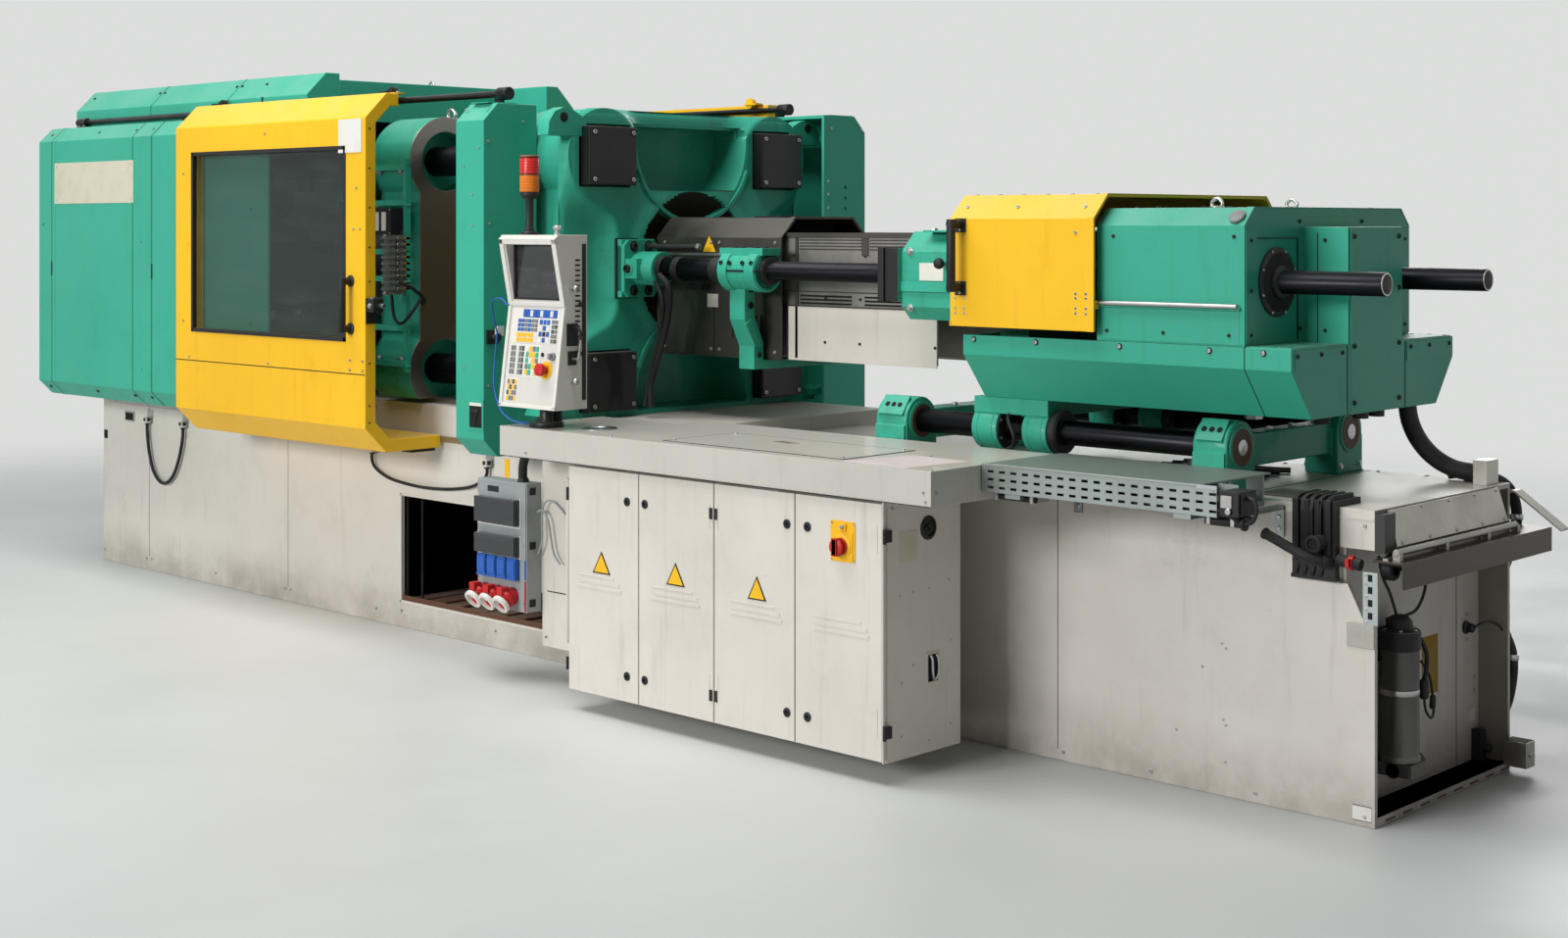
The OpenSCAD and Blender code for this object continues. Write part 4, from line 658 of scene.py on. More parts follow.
BEVELS = {
    6.0: "fixed_platen moving_platen end_platen",
    5.0: "bar_supports injection_head nut_covers",
    4.0: "operator_door rear_door rod_brackets carriage",
    3.0: "top_hood cover_operator_side cover_far_side socket_box panel_housing hose_manifold "
         "post_operator_side post_far_side",
    1.5: "main_switch",
    1.2: "table_top",
    1.0: "e_stop end_plates signal_tower",
    0.8: "cable_tray",
    0.5: "key_switch operator_window",
    0.3: "panel_screen",
    0.0: "screw",
}
widths = {name: width for width, names in BEVELS.items() for name in names.split()}
for look, name in [(look, name) for look, names in LOOKS.items() for name in names.split()]:
    obj = nodes[name]
    obj.data.materials.clear()
    obj.data.materials.append(MAT[look])
    width = widths.get(name, 2.0)
    if not width:
        continue
    weld = obj.modifiers.new("weld", "WELD")
    weld.merge_threshold = 0.00002
    flat = obj.modifiers.new("flat", "DECIMATE")
    flat.decimate_type = "DISSOLVE"
    flat.angle_limit = math.radians(1.0)
    round_edges(obj, width, 32)


# Control panel: rim, keys, knobs
KEY_ORIGIN, KEY_UP, KEY_OUT = (525, -950, 920), (0, 0.1293, 0.9917), (0, -0.9917, 0.1293)
TOP_ORIGIN, TOP_UP, TOP_OUT = (525, -908, 1242), (0, -0.1909, 0.9816), (0, -0.9816, -0.1909)

rim = Piece("panel_rim", "panel", "light_plastic", slot="white_paint", bevel=2.0)
rim.at(KEY_ORIGIN, y=KEY_UP, z=KEY_OUT)
rim.box((-139, 2, -1), (-125, 322, 5)).box((125, 2, -1), (139, 322, 5)).box((-139, 0, -1), (139, 12, 5))
rim.at(TOP_ORIGIN, y=TOP_UP, z=TOP_OUT)
rim.box((-139, 2, -1), (-119, 218, 5)).box((119, 2, -1), (139, 218, 5)).box((-139, 200, -1), (139, 220, 5))
rim.box((-139, 0, -1), (139, 14, 4))
rim.done()

keys = Piece("panel_keys", "panel", "light_plastic", "blue_plastic", "grey_paint", "yellow_paint",
             "green_paint", "black_plastic", "dark_grey_paint", slot="black_plastic", bevel=0.8)
keys.at(KEY_ORIGIN, y=KEY_UP, z=KEY_OUT)


def key_block(u0, u1, v0, v1, columns, rows, colours, gap=3.0, lift=2.2):
    """Keys in rows and columns, in colours that follow a list over and over."""
    wide, high = (u1 - u0) / columns, (v1 - v0) / rows
    for row in range(rows):
        for column in range(columns):
            colour = colours[(row * columns + column) % len(colours)]
            u, v = u0 + column * wide, v0 + row * high
            keys.box((u + gap / 2, v + gap / 2, 0), (u + wide - gap / 2, v + high - gap / 2, lift), colour)


keys.box((-116, 205, -1), (116, 316, 0.6), 0)
keys.box((-116, 98, -1), (40, 202, 0.6), 0)
keys.box((-116, 16, -1), (-56, 94, 0.6), 0)
keys.box((-64, 288, 0), (104, 314, 1.0), 1)
key_block(-62, 102, 290, 312, 10, 1, [1, 1, 0], 2.4, 2.6)
key_block(-86, 14, 242, 284, 6, 3, [1, 1, 2, 1, 2, 2], 3.0)
key_block(-88, 14, 208, 240, 6, 2, [3, 3, 3, 3, 3, 0], 3.0)
key_block(20, 74, 208, 284, 3, 4, [0, 1, 0, 1, 5, 1, 0, 1, 0, 1, 1, 1], 4.0)
key_block(80, 112, 208, 284, 2, 5, [2, 6, 2], 3.0)
key_block(-108, -40, 104, 198, 5, 5, [2, 2, 0, 2, 6], 3.0)
key_block(-32, 32, 104, 198, 4, 5, [3, 4, 0, 3, 2, 4, 3], 3.0)
key_block(-110, -60, 20, 90, 4, 4, [3, 2, 2, 3, 6], 3.0)
keys.lathe((51, 172, 0), UP, [(7, 0), (7, 2.5), (5, 3), (4.6, 0.5)], 5)
keys.cap((75, 124, 0), UP, 25, 1.4, 24, 2, 3, 28)
keys.cap((101, 167.5, 0), UP, 13, 1.6, 12, 2.2, 5, 24)
keys.done()

surround = Piece("screen_surround", "panel", "black_plastic", bevel=1.0)
surround.frame((412, 1262), (638, 1440), -913, -906, 8, tall=6)
surround.done()

panel_bits = Piece("panel_fittings", "panel", "ground_steel", "black_plastic", "grey_paint", bevel=0.8)
panel_bits.lathe((588, -880, 1467), UP, [(11, 0), (11, 5), (7, 8), (7, 14), (12, 18), (14, 24),
                                         (11, 31), (5, 33)], 0)
panel_bits.grid("lathe", 663, -885, (1300, 1010), RIGHT, [(9, 0), (9, 3), (5, 5), (5, 14), (10, 18),
                                                          (12, 25), (8, 31)], 0)
panel_bits.box((663, -905, 1120), (667, -860, 1190), 1)
panel_bits.pipe([(665, -880, 1175), (690, -882, 1178), (704, -884, 1168), (706, -885, 1140)], 5, 1)
panel_bits.box((663, -900, 1060), (668, -866, 1104), 1)
panel_bits.pipe([(666, -884, 1080), (694, -884, 1082), (700, -884, 1100)], 4.5, 0)
panel_bits.grid("screw", 663.5, -838, (960, 1200, 1400), RIGHT, 4, 2)
panel_bits.box((400, -821, 940), (650, -818, 1450), 2)
panel_bits.grid("screw", (410, 640), -818.2, (950, 1440), BACK, 4, 0)
panel_bits.done()

tower = Piece("signal_tower_trim", "panel", "black_plastic", "signal_red", "signal_orange", bevel=0.0)
tower.lathe((440, -870, 1466), UP, [(26, 0), (26, 8), (22, 12), (16, 14), (16, 22), (13.4, 24)], 0, 24)
tower.lathe((440, -870, 1584), UP, [(14, 0), (26, 8), (30, 12), (30, 22)], 0, 28)
for z in (1612, 1621, 1630, 1639, 1648, 1668, 1677, 1686, 1695, 1704):
    tower.lathe((440, -870, z), UP, [(31.2, -1.2), (31.9, 0), (31.2, 1.2)], 1 if z > 1660 else 2, 28)
tower.lathe((440, -870, 1714), UP, [(31.6, 0), (31.6, 6), (28, 9), (10, 10)], 0, 28)
tower.done()


def door_foot(piece, x):
    """Bracket and axle of a door's wheel, and the plate of its hanger."""
    piece.box((x - 30, -640, 676), (x + 30, -534, 690), 2)
    piece.rod((x, -560, 690), (x, -560, 712), 15, 3)
    piece.box((x - 34, -716, 1970), (x + 34, -674, 1975), 0)


def eye(piece, centre, foot, half, heights, radius, mat=2):
    """Lifting eye: a round foot and a bow with its half widths and heights."""
    x, y, z = centre
    piece.cap(centre, UP, *foot, mat, 20)
    low, middle, top = (z + height for height in heights)
    piece.pipe([(x - half[0], y, low), (x - half[1], y, middle), (x, y, top), (x + half[1], y, middle),
                (x + half[0], y, low)], radius, mat)


# Side covers: grooves, pressed strips, slots, screws, bare plate
COVER_LINE = [(-750, 760), (-810, 820), (-810, 1860), (-750, 1920), (-562, 1920)]
covers = Piece("cover_trim", "root", "green_paint", "recess_shade_and_seams", "ground_steel", "cream_label",
               "black_plastic", bevel=0.6)
for side in (1, -1):
    covers.mirror(side)
    for x in (-2883, -2190, -2036):
        covers.band(COVER_LINE, x - 1.6, x + 1.6, 0.7, 1)
    covers.band(COVER_LINE[:4], -2184, -2042, 1.2, 0)
    covers.band(COVER_LINE[:4], -2876, -2850, 0.9, 0)
    for x in (-2883, -2036):
        covers.box((x - 5, -811.6, 1278), (x + 5, -809, 1341), 4)
        covers.box((x - 2.4, -812.2, 1282), (x + 2.4, -809, 1337), 1)
    for x in (-2935, -2520, -2208, -2072, -1480, -1240):
        covers.screw((x, -786, 796), SLANT_LOW, 7, 4)
        covers.cap((x, -780, 1890), SLANT_HIGH, 7, 1, 5, 1.8, 4, 14)
    for x, z in ((-2115, 1428), (-2115, 907), (-2960, 1500), (-1300, 1120), (-1300, 1560)):
        covers.cap((x, -810, z), FRONT, 5, 0.8, 3, 1.3, 4, 14)
    covers.box((-3002.5, -514, 1000), (-2999, -4, 1860), 0)
    for z in (1180, 1240, 1300, 1360, 1420, 1480):
        covers.prism([(-400, z), (-120, z), (-120, z + 26), (-400, z + 26)], "x", -3006, -3002, 0)
        # Painted shade: a near-black strip below each slat
        covers.box((-3003.2, -396, z - 9), (-3001, -124, z), 1)
    for y, z in ((-490, 1030), (-490, 1830), (-30, 1030), (-30, 1830), (-760, 900),
                 (-760, 1780), (-560, 820)):
        covers.screw((-3001.5, y, z), LEFT, 8, 4)
covers.at()
covers.box((-3003, -4, 770), (-2998, 4, 1900), 1)
covers.box((-2856, -811.4, 1590), (-2184, -809.5, 1765), 3)
covers.grid("cap", (-2838, -2202), -811.3, (1606, 1749), FRONT, 4.5, 0.4, 3, 0.7, 2, 14)
covers.done()

# Roof hood: seam lines, stiffeners, lifting eyes and screws
roof = Piece("roof_trim", "root", "green_paint", "recess_shade_and_seams", "ground_steel", "black_plastic", bevel=0.6)
ROOF_LINE = [(-666, 1930), (-666, 1998), (-579, 2085), (579, 2085), (666, 1998), (666, 1930)]
for x in (-2300, -1700):
    roof.band(ROOF_LINE, x - 1.6, x + 1.6, 0.7, 1)
for x in (-2880, -2320, -2280, -1720, -1680, -1500):
    for side in (1, -1):
        roof.mirror(side).screw((x, -666.3, 1950), FRONT, 7, 3)
        roof.screw((x, -610, 2054), SLANT_HIGH, 6, 3)
roof.at()
for x in (-2750, -1650):
    for y in (-300, 300):
        eye(roof, (x, y, 2085), (20, 5, 16, 7), (14, 16), (5, 19, 31), 5)
for side in (1, -1):
    roof.mirror(side)
    roof.box((-1452, -668, 1926), (-1442, -522, 2000), 1).box((-1140, -664, 1960), (-1136, -530, 1990), 0)
    roof.grid("screw", -1139.8, (-650, -540), 1975, RIGHT, 6, 3)
roof.done()

# Guide rods: bolted feet, collars and end caps, and the bolts of the low rails
rods = Piece("guide_rod_trim", "root", "black_paint", "ground_steel", "black_plastic", bevel=0.8)
for side in (1, -1):
    rods.mirror(side)
    rods.box((-2848, -712, 1920.5), (-2792, -668, 1927), 0)
    rods.grid("washer", (-2840, -2800), -704, 1927, UP, 6, 1)
    rods.lathe((-2820, -690, 1945), RIGHT, [(19, -24), (19, 24), (17, 26)], 0, 20)
    rods.cap((-2852, -690, 1945), LEFT, 17, 18, 14, 21, 2, 20)
    rods.grid("washer", range(-2850, -60, 280), -531, 722, FRONT, 5, 1)
rods.done()

# Operator door: seam, screws, window frame, bare label, latch, feet and hangers of its wheels
DOOR_FACE = -860
door = Piece("operator_door_trim", "operator_door", "yellow_paint", "recess_shade_and_seams", "black_plastic",
             "ground_steel", "light_plastic", bevel=0.6)
door.band([(DOOR_FACE, 968), (DOOR_FACE, 971.5)], -1759, -481, 0.6, 1)
door.frame((-1642, 1083), (-598, 1782), -863.5, -846, 14, 2)
for x, z in ((-1703, 1123), (-1703, 1700), (-1661, 983), (-571, 1018), (-494, 1018), (-571, 983),
             (-494, 983), (-532, 1631), (-510, 1485), (-550, 1485), (-1100, 983), (-1120, 1840)):
    door.screw((x, DOOR_FACE, z), FRONT, 5, 3)
door.box((-641, -863.2, 1756), (-500, -859.5, 1876), 4)
for x in (-1700, -1120, -540):
    door.screw((x, -806, 734), SLANT_LOW, 6, 3).screw((x, -806, 1926), SLANT_HIGH, 6, 3)
door.grid("screw", -480, -842, (800, 860, 1010, 1300, 1420, 1560, 1700, 1840), RIGHT, 3.4, 1)
door.box((-481, -858, 1150), (-477, -815, 1240), 2).box((-480, -856, 1192), (-436, -813, 1238), 2)
door.box((-474, -848, 1238), (-450, -818, 1244), 3).rod((-446, -828, 1214), (-414, -828, 1214), 9, 3)
door.washer((-458, -856, 1214), FRONT, 8, 3)
for x in (-1700, -540):
    door_foot(door, x)
    door.each("washer", [(x + dx, -694, 1975) for dx in (-24, 24)], UP, 6, 3)
door.grid("cap", -566, DOOR_FACE, (1131, 1300), FRONT, 21, 5, 17, 8, 2, 24)
door.done()

# Inside of the operator door: stiffening frame behind the window
door_back = Piece("operator_door_back", "operator_door", "yellow_paint", "ground_steel", bevel=1.0)
door_back.frame((-1690, 1040), (-550, 1826), -814.6, -812.6, 40)
door_back.box((-1690, -814.6, 820), (-550, -813, 1000), 0)
door_back.grid("cap", (-1670, -1120, -570), -812.6, (1060, 1806), BACK, 7, 0.3, 5, 0.6, 1, 14)
door_back.done()

# Rear door: seams, ribs, screws and latch
back_door = Piece("rear_door_trim", "rear_door", "yellow_paint", "recess_shade_and_seams", "black_plastic",
                  "ground_steel", bevel=0.6)
back_door.mirror(-1)
back_door.band([(DOOR_FACE, 968), (DOOR_FACE, 971.5)], -1309, -31, 0.6, 1)
back_door.band([(DOOR_FACE, 1798), (DOOR_FACE, 1801.5)], -1309, -31, 0.6, 1)
back_door.box((-1240, -866, 1120), (-100, DOOR_FACE, 1690), 0)
back_door.row(10, (0, 0, 50), (-1180, -868, 1180), (-420, -864, 1192), 1)
back_door.grid("screw", (-1290, -1100, -700, -300, -50), DOOR_FACE, (1010, 1760), FRONT, 5, 3)
for x in (-1250, -90):
    door_foot(back_door, x)
back_door.grid("cap", -116, DOOR_FACE, (1131, 1300), FRONT, 21, 5, 17, 8, 2, 24)
back_door.box((-31, -852, 1168), (10, -815, 1220), 2).rod((8, -830, 1194), (24, -830, 1194), 8, 3)
back_door.done()

# Operator post: recess with a T latch, hook with the blue cable, screws
post = Piece("post_trim", "root", "green_paint", "recess_shade_and_seams", "black_plastic", "ground_steel",
             "blue_plastic", "light_plastic", bevel=0.8)
# Painted shade: the back of the latch recess is near black
post.box((46, -813, 812), (128, -809, 912), 0).box((54, -813.6, 820), (120, -812, 892), 1)
post.box((56, -815, 893), (120, -810, 903), 5)
post.prism([(80, 826), (86, 826), (98, 880), (92, 884)], "y", -817, -811, 2)
post.box((70, -818, 872), (108, -811, 880), 2)
for x, z in ((66, 1603), (66, 1500), (20, 1700), (20, 1020), (100, 1760)):
    post.screw((x, -810, z), FRONT, 4.5, 3)
for y, z in ((-785, 1504), (-790, 1780), (-640, 1850), (-790, 960), (-640, 800)):
    post.screw((126, y, z), RIGHT, 5, 3)
post.box((122, -800, 1100), (134, -752, 1148), 2).rod((134, -776, 1124), (158, -776, 1124), 7, 3)
post.cap((158, -776, 1124), RIGHT, 14, 5, 10, 8, 2, 16)
post.box((136, -770, 1128), (150, -742, 1160), 5)
post.pipe([(384, -916, 1240), (340, -906, 1262), (250, -870, 1250), (190, -820, 1200),
           (166, -784, 1140)], 3.0, 4, 8)
post.pipe([(166, -784, 1140), (158, -788, 1040), (170, -800, 960), (230, -820, 890), (330, -850, 862),
           (420, -866, 861), (500, -880, 861)], 3.0, 4, 8)
post.box((-27.5, -806, 1172), (-24, -770, 1216), 2).box((-30, -802, 1184), (-26, -774, 1204), 3)
for x0, x1, side in ((-25, 126, 1), (-25, 394, -1)):
    post.mirror(side)
    post.box((x0 + 30, -770, 1911), (x1 - 26, -640, 1914), 0)
    post.grid("screw", (x0 + 20, x1 - 20), -780, 1890, SLANT_HIGH, 5, 3)
post.mirror(-1)
for z in (960, 1240, 1520, 1800):
    post.screw((130, -810, z), FRONT, 6, 3).screw((360, -810, z), FRONT, 6, 3)
post.band([(-810, 826), (-810, 1850)], 243, 246, 0.6, 1)
post.each("screw", [(394, y, z) for z in (1000, 1300, 1860) for y in (-790, -620)], RIGHT, 6, 3)
post.grid("cap", 394, -604, (1663, 1614, 1563), RIGHT, 5, 1, 3, 1.6, 5, 14)
post.done()


# Fixed platen: rounded casting skin between the hub, the webs and the corner pads
PLATEN_X, RIB_X, TIE_Y, TIE_Z = 240, 290, 415, 385


def blend_min(a, b, k):
    h = max(k - abs(a - b), 0) / k
    return min(a, b) - h * h * k / 4


def web_distance(y, z):
    """Distance in the platen's plane to its raised parts, below 0 inside them, with soft corners."""
    y, z = abs(y), abs(z)
    slope = math.hypot(TIE_Y, TIE_Z)
    along = (y * TIE_Y + z * TIE_Z) / slope
    web = abs(y * TIE_Z - z * TIE_Y) / slope - 115 if along > 0 else 999
    hub = math.hypot(y, z) - 345
    corner = math.hypot(y - TIE_Y, z - TIE_Z) - 165
    dy, dz = abs(y - ROD_Y) - 78, z - 100
    pad = max(dy, dz) if min(dy, dz) < 0 else math.hypot(dy, dz)
    return min(blend_min(blend_min(hub, web, 150), corner, 60), pad)


def in_platen(y, z):
    y, z = abs(y), abs(z)
    if z > 548 or y > 578:
        return False
    return not (y > TIE_Y and z > TIE_Z and math.hypot(y - TIE_Y, z - TIE_Z) > 163)


def skin_height(y, z):
    d = web_distance(y, z)
    r = math.hypot(y, z)
    step = 1.0 if d < 0 else max(0.0, 1 - d / 95) ** 2.2
    height = PLATEN_X + 1.5 + (RIB_X - PLATEN_X) * step
    if r < 330:
        height += 10 * math.sin(min((330 - r) / 62, 1.0) * math.pi / 2) ** 2 if r > 268 else 10
    rim = min(578 - abs(y), 548 - abs(z))
    if rim < 26:
        height -= (26 - rim) ** 2 / 60
    return height


def skin_open(y, z):
    nut = abs(abs(y) - TIE_Y) < 116 and abs(abs(z) - TIE_Z) < 110
    pocket = abs(z) > 262 and math.hypot(y, abs(z) - 445) < 276 and abs(y) < 274 and abs(z) < 500
    return nut or pocket or math.hypot(y, z) < 269 or not in_platen(y, z) or z < -505


def grid_skin(name, slot, material, step, low, high, height, closed, back):
    """Open grid over a face, left out where closed says so, with its borders dropped to back."""
    skin = Piece(name, "root", material, slot=slot, bevel=0.0)
    count = [int((b - a) / step) + 1 for a, b in zip(low, high)]
    number, verts, faces = {}, [], []

    def corner(i, j, sunk=False):
        if (i, j, sunk) not in number:
            y, z = low[0] + i * step, low[1] + j * step
            number[i, j, sunk] = len(verts)
            verts.append((back if sunk else height(y, z), y, AXIS_Z + z))
        return number[i, j, sunk]

    cells = {(i, j) for i in range(count[0]) for j in range(count[1])
             if not closed(low[0] + (i + 0.5) * step, low[1] + (j + 0.5) * step)}
    for i, j in sorted(cells):
        square = [(i, j), (i + 1, j), (i + 1, j + 1), (i, j + 1)]
        faces.append([corner(*p) for p in square])
        for p, q, (u, v) in zip(square, square[1:] + square[:1], ((0, -1), (1, 0), (0, 1), (-1, 0))):
            if (i + u, j + v) not in cells:
                faces.append([corner(*q), corner(*p), corner(*p, True), corner(*q, True)])
    skin.add(verts, faces)
    return skin.done(55)


grid_skin("platen_skin", "green_paint", "green_casting", 9, (-579, -540), (579, 549),
          skin_height, skin_open, 236)

# Raised lip that curves under each pocket of the platen, the arch with its eye, and the seat edges
lip = Piece("platen_lips", "root", "green_casting", "recess_shade_and_seams", slot="green_paint", bevel=2.0)
for up in (1, -1):
    line = []
    for k in range(19):
        a = math.radians(200 + 140 * k / 18)
        y, z = 286 * math.cos(a), (445 + 286 * math.sin(a)) * up
        line.append((y, AXIS_Z + z))
    lip.ribbon(line, "x", 262, 303, 13, 0)
for side in (1, -1):
    lip.mirror(side)
    arch = [(-670, 1800), (-664, 1846), (-640, 1880), (-600, 1896), (-560, 1888), (-520, 1868),
            (-500, 1850), (-500, 1800)]
    lip.prism(arch, "x", 236, 292, 0)
    lip.lathe((293, -600, 1862), RIGHT, [(17, -2), (17, 0.8)], 1, 20)
    lip.prism([(-700, 861), (-582, 861), (-582, 884), (-690, 884)], "x", 205, 330, 0)
    lip.grid("washer", (225, 268, 312), -640, 884, UP, 12, 0)
lip.done()

nuts = Piece("nut_cover_trim", "root", "black_paint", "ground_steel", "recess_shade_and_seams", bevel=1.5)
for sy in (-1, 1):
    for sz in (-1, 1):
        y, z = sy * TIE_Y, AXIS_Z + sz * TIE_Z
        nuts.box((320, y - 103, z - 96), (337, y + 103, z + 96), 0)
        for dy in (-88, 88):
            for dz in (-80, 80):
                nuts.lathe((337, y + dy, z + dz), RIGHT, [(11, -2), (11, 0.4), (9, 0.6)], 2, 16)
                nuts.screw((336, y + dy, z + dz), RIGHT, 8, 1)
nuts.done()

# Back of the machine at the clamping end: bolts and pipes on the end platen and cylinder
clamp_end = Piece("clamp_end_trim", "root", "green_casting", "ground_steel", "black_plastic", "hose_rubber",
                  slot="green_paint", bevel=1.0)
for outer, inner in zip(ring(12, 250, 15), ring(12, 215, 15)):
    clamp_end.washer((-2330, outer[0], AXIS_Z + outer[1]), RIGHT, 16, 1)
    clamp_end.washer((-1500, inner[0], AXIS_Z + inner[1]), RIGHT, 10, 1)
for side in (-1, 1):
    clamp_end.pipe([(-2300, 180 * side, 1560), (-2200, 240 * side, 1600), (-1900, 260 * side, 1560),
                    (-1700, 250 * side, 1420), (-1620, 230 * side, 1400)], 20, 3, 12)
clamp_end.box((-2260, -120, 1560), (-2080, 120, 1640), 0).rod((-2170, 0, 1640), (-2170, 0, 1720), 34, 2)
clamp_end.done()

# Moving platen: rims, ribs, pipes, the box with two bare plates and the valve block
moving = Piece("moving_platen_trim", "moving_platen", "green_casting", "recess_shade_and_seams", "ground_steel",
               "black_plastic", "light_plastic", "grey_paint", "brass", slot="green_paint", bevel=2.0)
for side in (1, -1):
    moving.mirror(side)
    for z0, z1 in ((980, 1130), (1290, 1410), (1570, 1720)):
        moving.prism([(-846, z0), (-594, z0), (-606, z0 + 20), (-834, z0 + 20)], "y", -602, -578, 0)
        moving.prism([(-834, z1 - 20), (-606, z1 - 20), (-594, z1), (-846, z1)], "y", -602, -578, 0)
    moving.box((-842, -600, 960), (-826, -578, 1740), 0).box((-614, -600, 960), (-598, -578, 1740), 0)
    moving.each("washer", [(x, -580, z) for z in (1000, 1700) for x in (-790, -650)], FRONT, 13, 2)
moving.at()
moving.box((-744, -652, 1462), (-618, -578, 1560), 3)
for x in (-716, -672):
    moving.box((x, -655, 1478), (x + 26, -651, 1546), 4)
moving.each("screw", [(x, -652, z) for x, z in ((-738, 1468), (-624, 1468), (-738, 1554),
                                                (-624, 1554))], FRONT, 4, 2)
moving.box((-640, -668, 1246), (-602, -584, 1462), 5)
for z in range(1262, 1469, 23):
    moving.box((-645, -676, z), (-598, -580, z + 9), 5)
    moving.rod((-600, -640, z + 4), (-586, -640, z + 4), 7, 2, 12)
    moving.rod((-600, -606, z + 4), (-590, -606, z + 4), 5, 6, 12)
moving.grid("washer", -620, -676, (1250, 1458), FRONT, 7, 2)
moving.pipe([(-600, -520, 1210), (-570, -540, 1230), (-562, -600, 1270), (-580, -640, 1290)], 7, 3)
moving.pipe([(-700, -590, 1240), (-660, -606, 1160), (-600, -616, 1140), (-560, -600, 1180),
             (-562, -560, 1230)], 6, 3)
moving.pipe([(-744, -610, 1500), (-800, -618, 1480), (-836, -600, 1400), (-850, -560, 1300)], 8, 3)
moving.pipe([(-620, -600, 1462), (-640, -606, 1520)], 8, 3)
for y in (-300, 300):
    eye(moving, (-720, y, 1897), (26, 6, 20, 9), (18, 22), (5, 23, 39), 7)
moving.grid("lathe", -599, (-210, -140, -70, 0, 70, 140, 210), (1030, 1670), RIGHT,
            [(9, -4), (9, 0.4)], 1, 14)
moving.done()

# Mould face of the fixed platen: clamping holes
faces = Piece("mould_face_trim", "root", "recess_shade_and_seams", slot="green_paint", bevel=0.0)
faces.each("lathe", [(0.4, y, AXIS_Z + z) for y in (-280, -210, -140, -70, 0, 70, 140, 210, 280)
                     for z in (-320, -250, 250, 320)], LEFT, [(9, -3), (9, 0.8)], 0, 14)
faces.done()

# Brackets of the traverse rods: gaskets, bolts, hose ends, split clamps
brackets = Piece("bracket_trim", "root", "green_casting", "black_plastic", "recess_shade_and_seams", "hose_rubber",
                 "galvanised", slot="green_paint", bevel=2.0)
for side in (1, -1):
    brackets.mirror(side)
    brackets.prism([(-372, 1246), (-204, 1246), (-204, 1454), (-372, 1454)], "x", 290.5, 299, 1)
    brackets.prism([(-366, 1272), (-346, 1252), (-230, 1252), (-210, 1272), (-210, 1428), (-230, 1448),
                    (-346, 1448), (-366, 1428)], "x", 296, 334, 0)
    for y, z in ((-322, 1426), (-322, 1274), (-254, 1426), (-254, 1274), (-350, AXIS_Z)):
        brackets.lathe((334, y, z), RIGHT, [(19, -3), (19, 0.8)], 2, 20).screw((333, y, z), RIGHT, 14, 1)
    brackets.prism([(300, -362), (392, -362), (392, -330), (300, -330)], "z", 1316, 1384, 0)
    brackets.cap((350, -362, AXIS_Z), FRONT, 22, 3, 18, 4, 0, 24)
    brackets.screw((350, -366, AXIS_Z), FRONT, 15, 1)
    brackets.lathe((446, -ROD_Y, AXIS_Z), RIGHT, [(44, -6), (44, 16), (40, 20)], 1, 32)
    brackets.lathe((520, -ROD_Y, AXIS_Z), RIGHT, [(40, -2), (42, 0), (42, 26), (40, 28)], 3, 32)
    brackets.lathe((700, -ROD_Y, AXIS_Z), RIGHT, [(40, 0), (41.5, 2), (41.5, 40), (40, 42)], 3, 32)
    brackets.lathe((859, -ROD_Y, AXIS_Z), RIGHT, [(64, 0), (66, 2), (66, 4), (60, 8)], 0, 32)
    brackets.grid("lathe", (773, 897), -ROD_Y, AXIS_Z, RIGHT, [(62, 0), (70, 4), (70, 44), (62, 48)], 0, 36)
    brackets.prism([(762, -330), (958, -330), (958, -246), (762, -246)], "z", 1400, 1424, 0)
    brackets.prism([(766, -356), (954, -356), (954, -346), (766, -346)], "z", 1346.5, 1353.5, 2)
    for x in (792, 830, 890, 930):
        brackets.lathe((x, -ROD_Y, 1424), UP, [(13, 0), (13, 1)], 2, 16).screw((x, -ROD_Y, 1423), UP, 10, 1)
        brackets.screw((x, -352, 1376), FRONT, 8, 1)
    brackets.lathe((946, -ROD_Y, AXIS_Z), RIGHT, [(46, -4), (46, 14), (38, 18)], 1, 32)
    brackets.grid("screw", 861, -ROD_Y, (1290, 1236), RIGHT, 12, 2)
    brackets.prism([(-314, 1176), (-270, 1100), (-240, 1100), (-290, 1190)], "x", 858, 868, 0)
    brackets.screw((862, -246, 1072), RIGHT, 9, 1)
brackets.at()
brackets.rod((392, -262, 1424), (590, -262, 1424), 9, 3, 14).washer((590, -262, 1424), RIGHT, 11, 4)
brackets.pipe([(392, -262, 1424), (350, -262, 1424), (330, -262, 1400)], 9, 3, 14)
brackets.pipe([(470, -330, 1330), (520, -330, 1280), (500, -320, 1180), (470, -330, 1060), (430, -330, 960),
               (440, -340, 880)], 11, 3, 12)
brackets.pipe([(440, -320, 1310), (480, -324, 1240), (462, -318, 1120), (420, -320, 1000),
               (400, -330, 880)], 9, 3, 12)
brackets.box((520, -252, 1278), (590, -212, 1300), 1)
brackets.done()

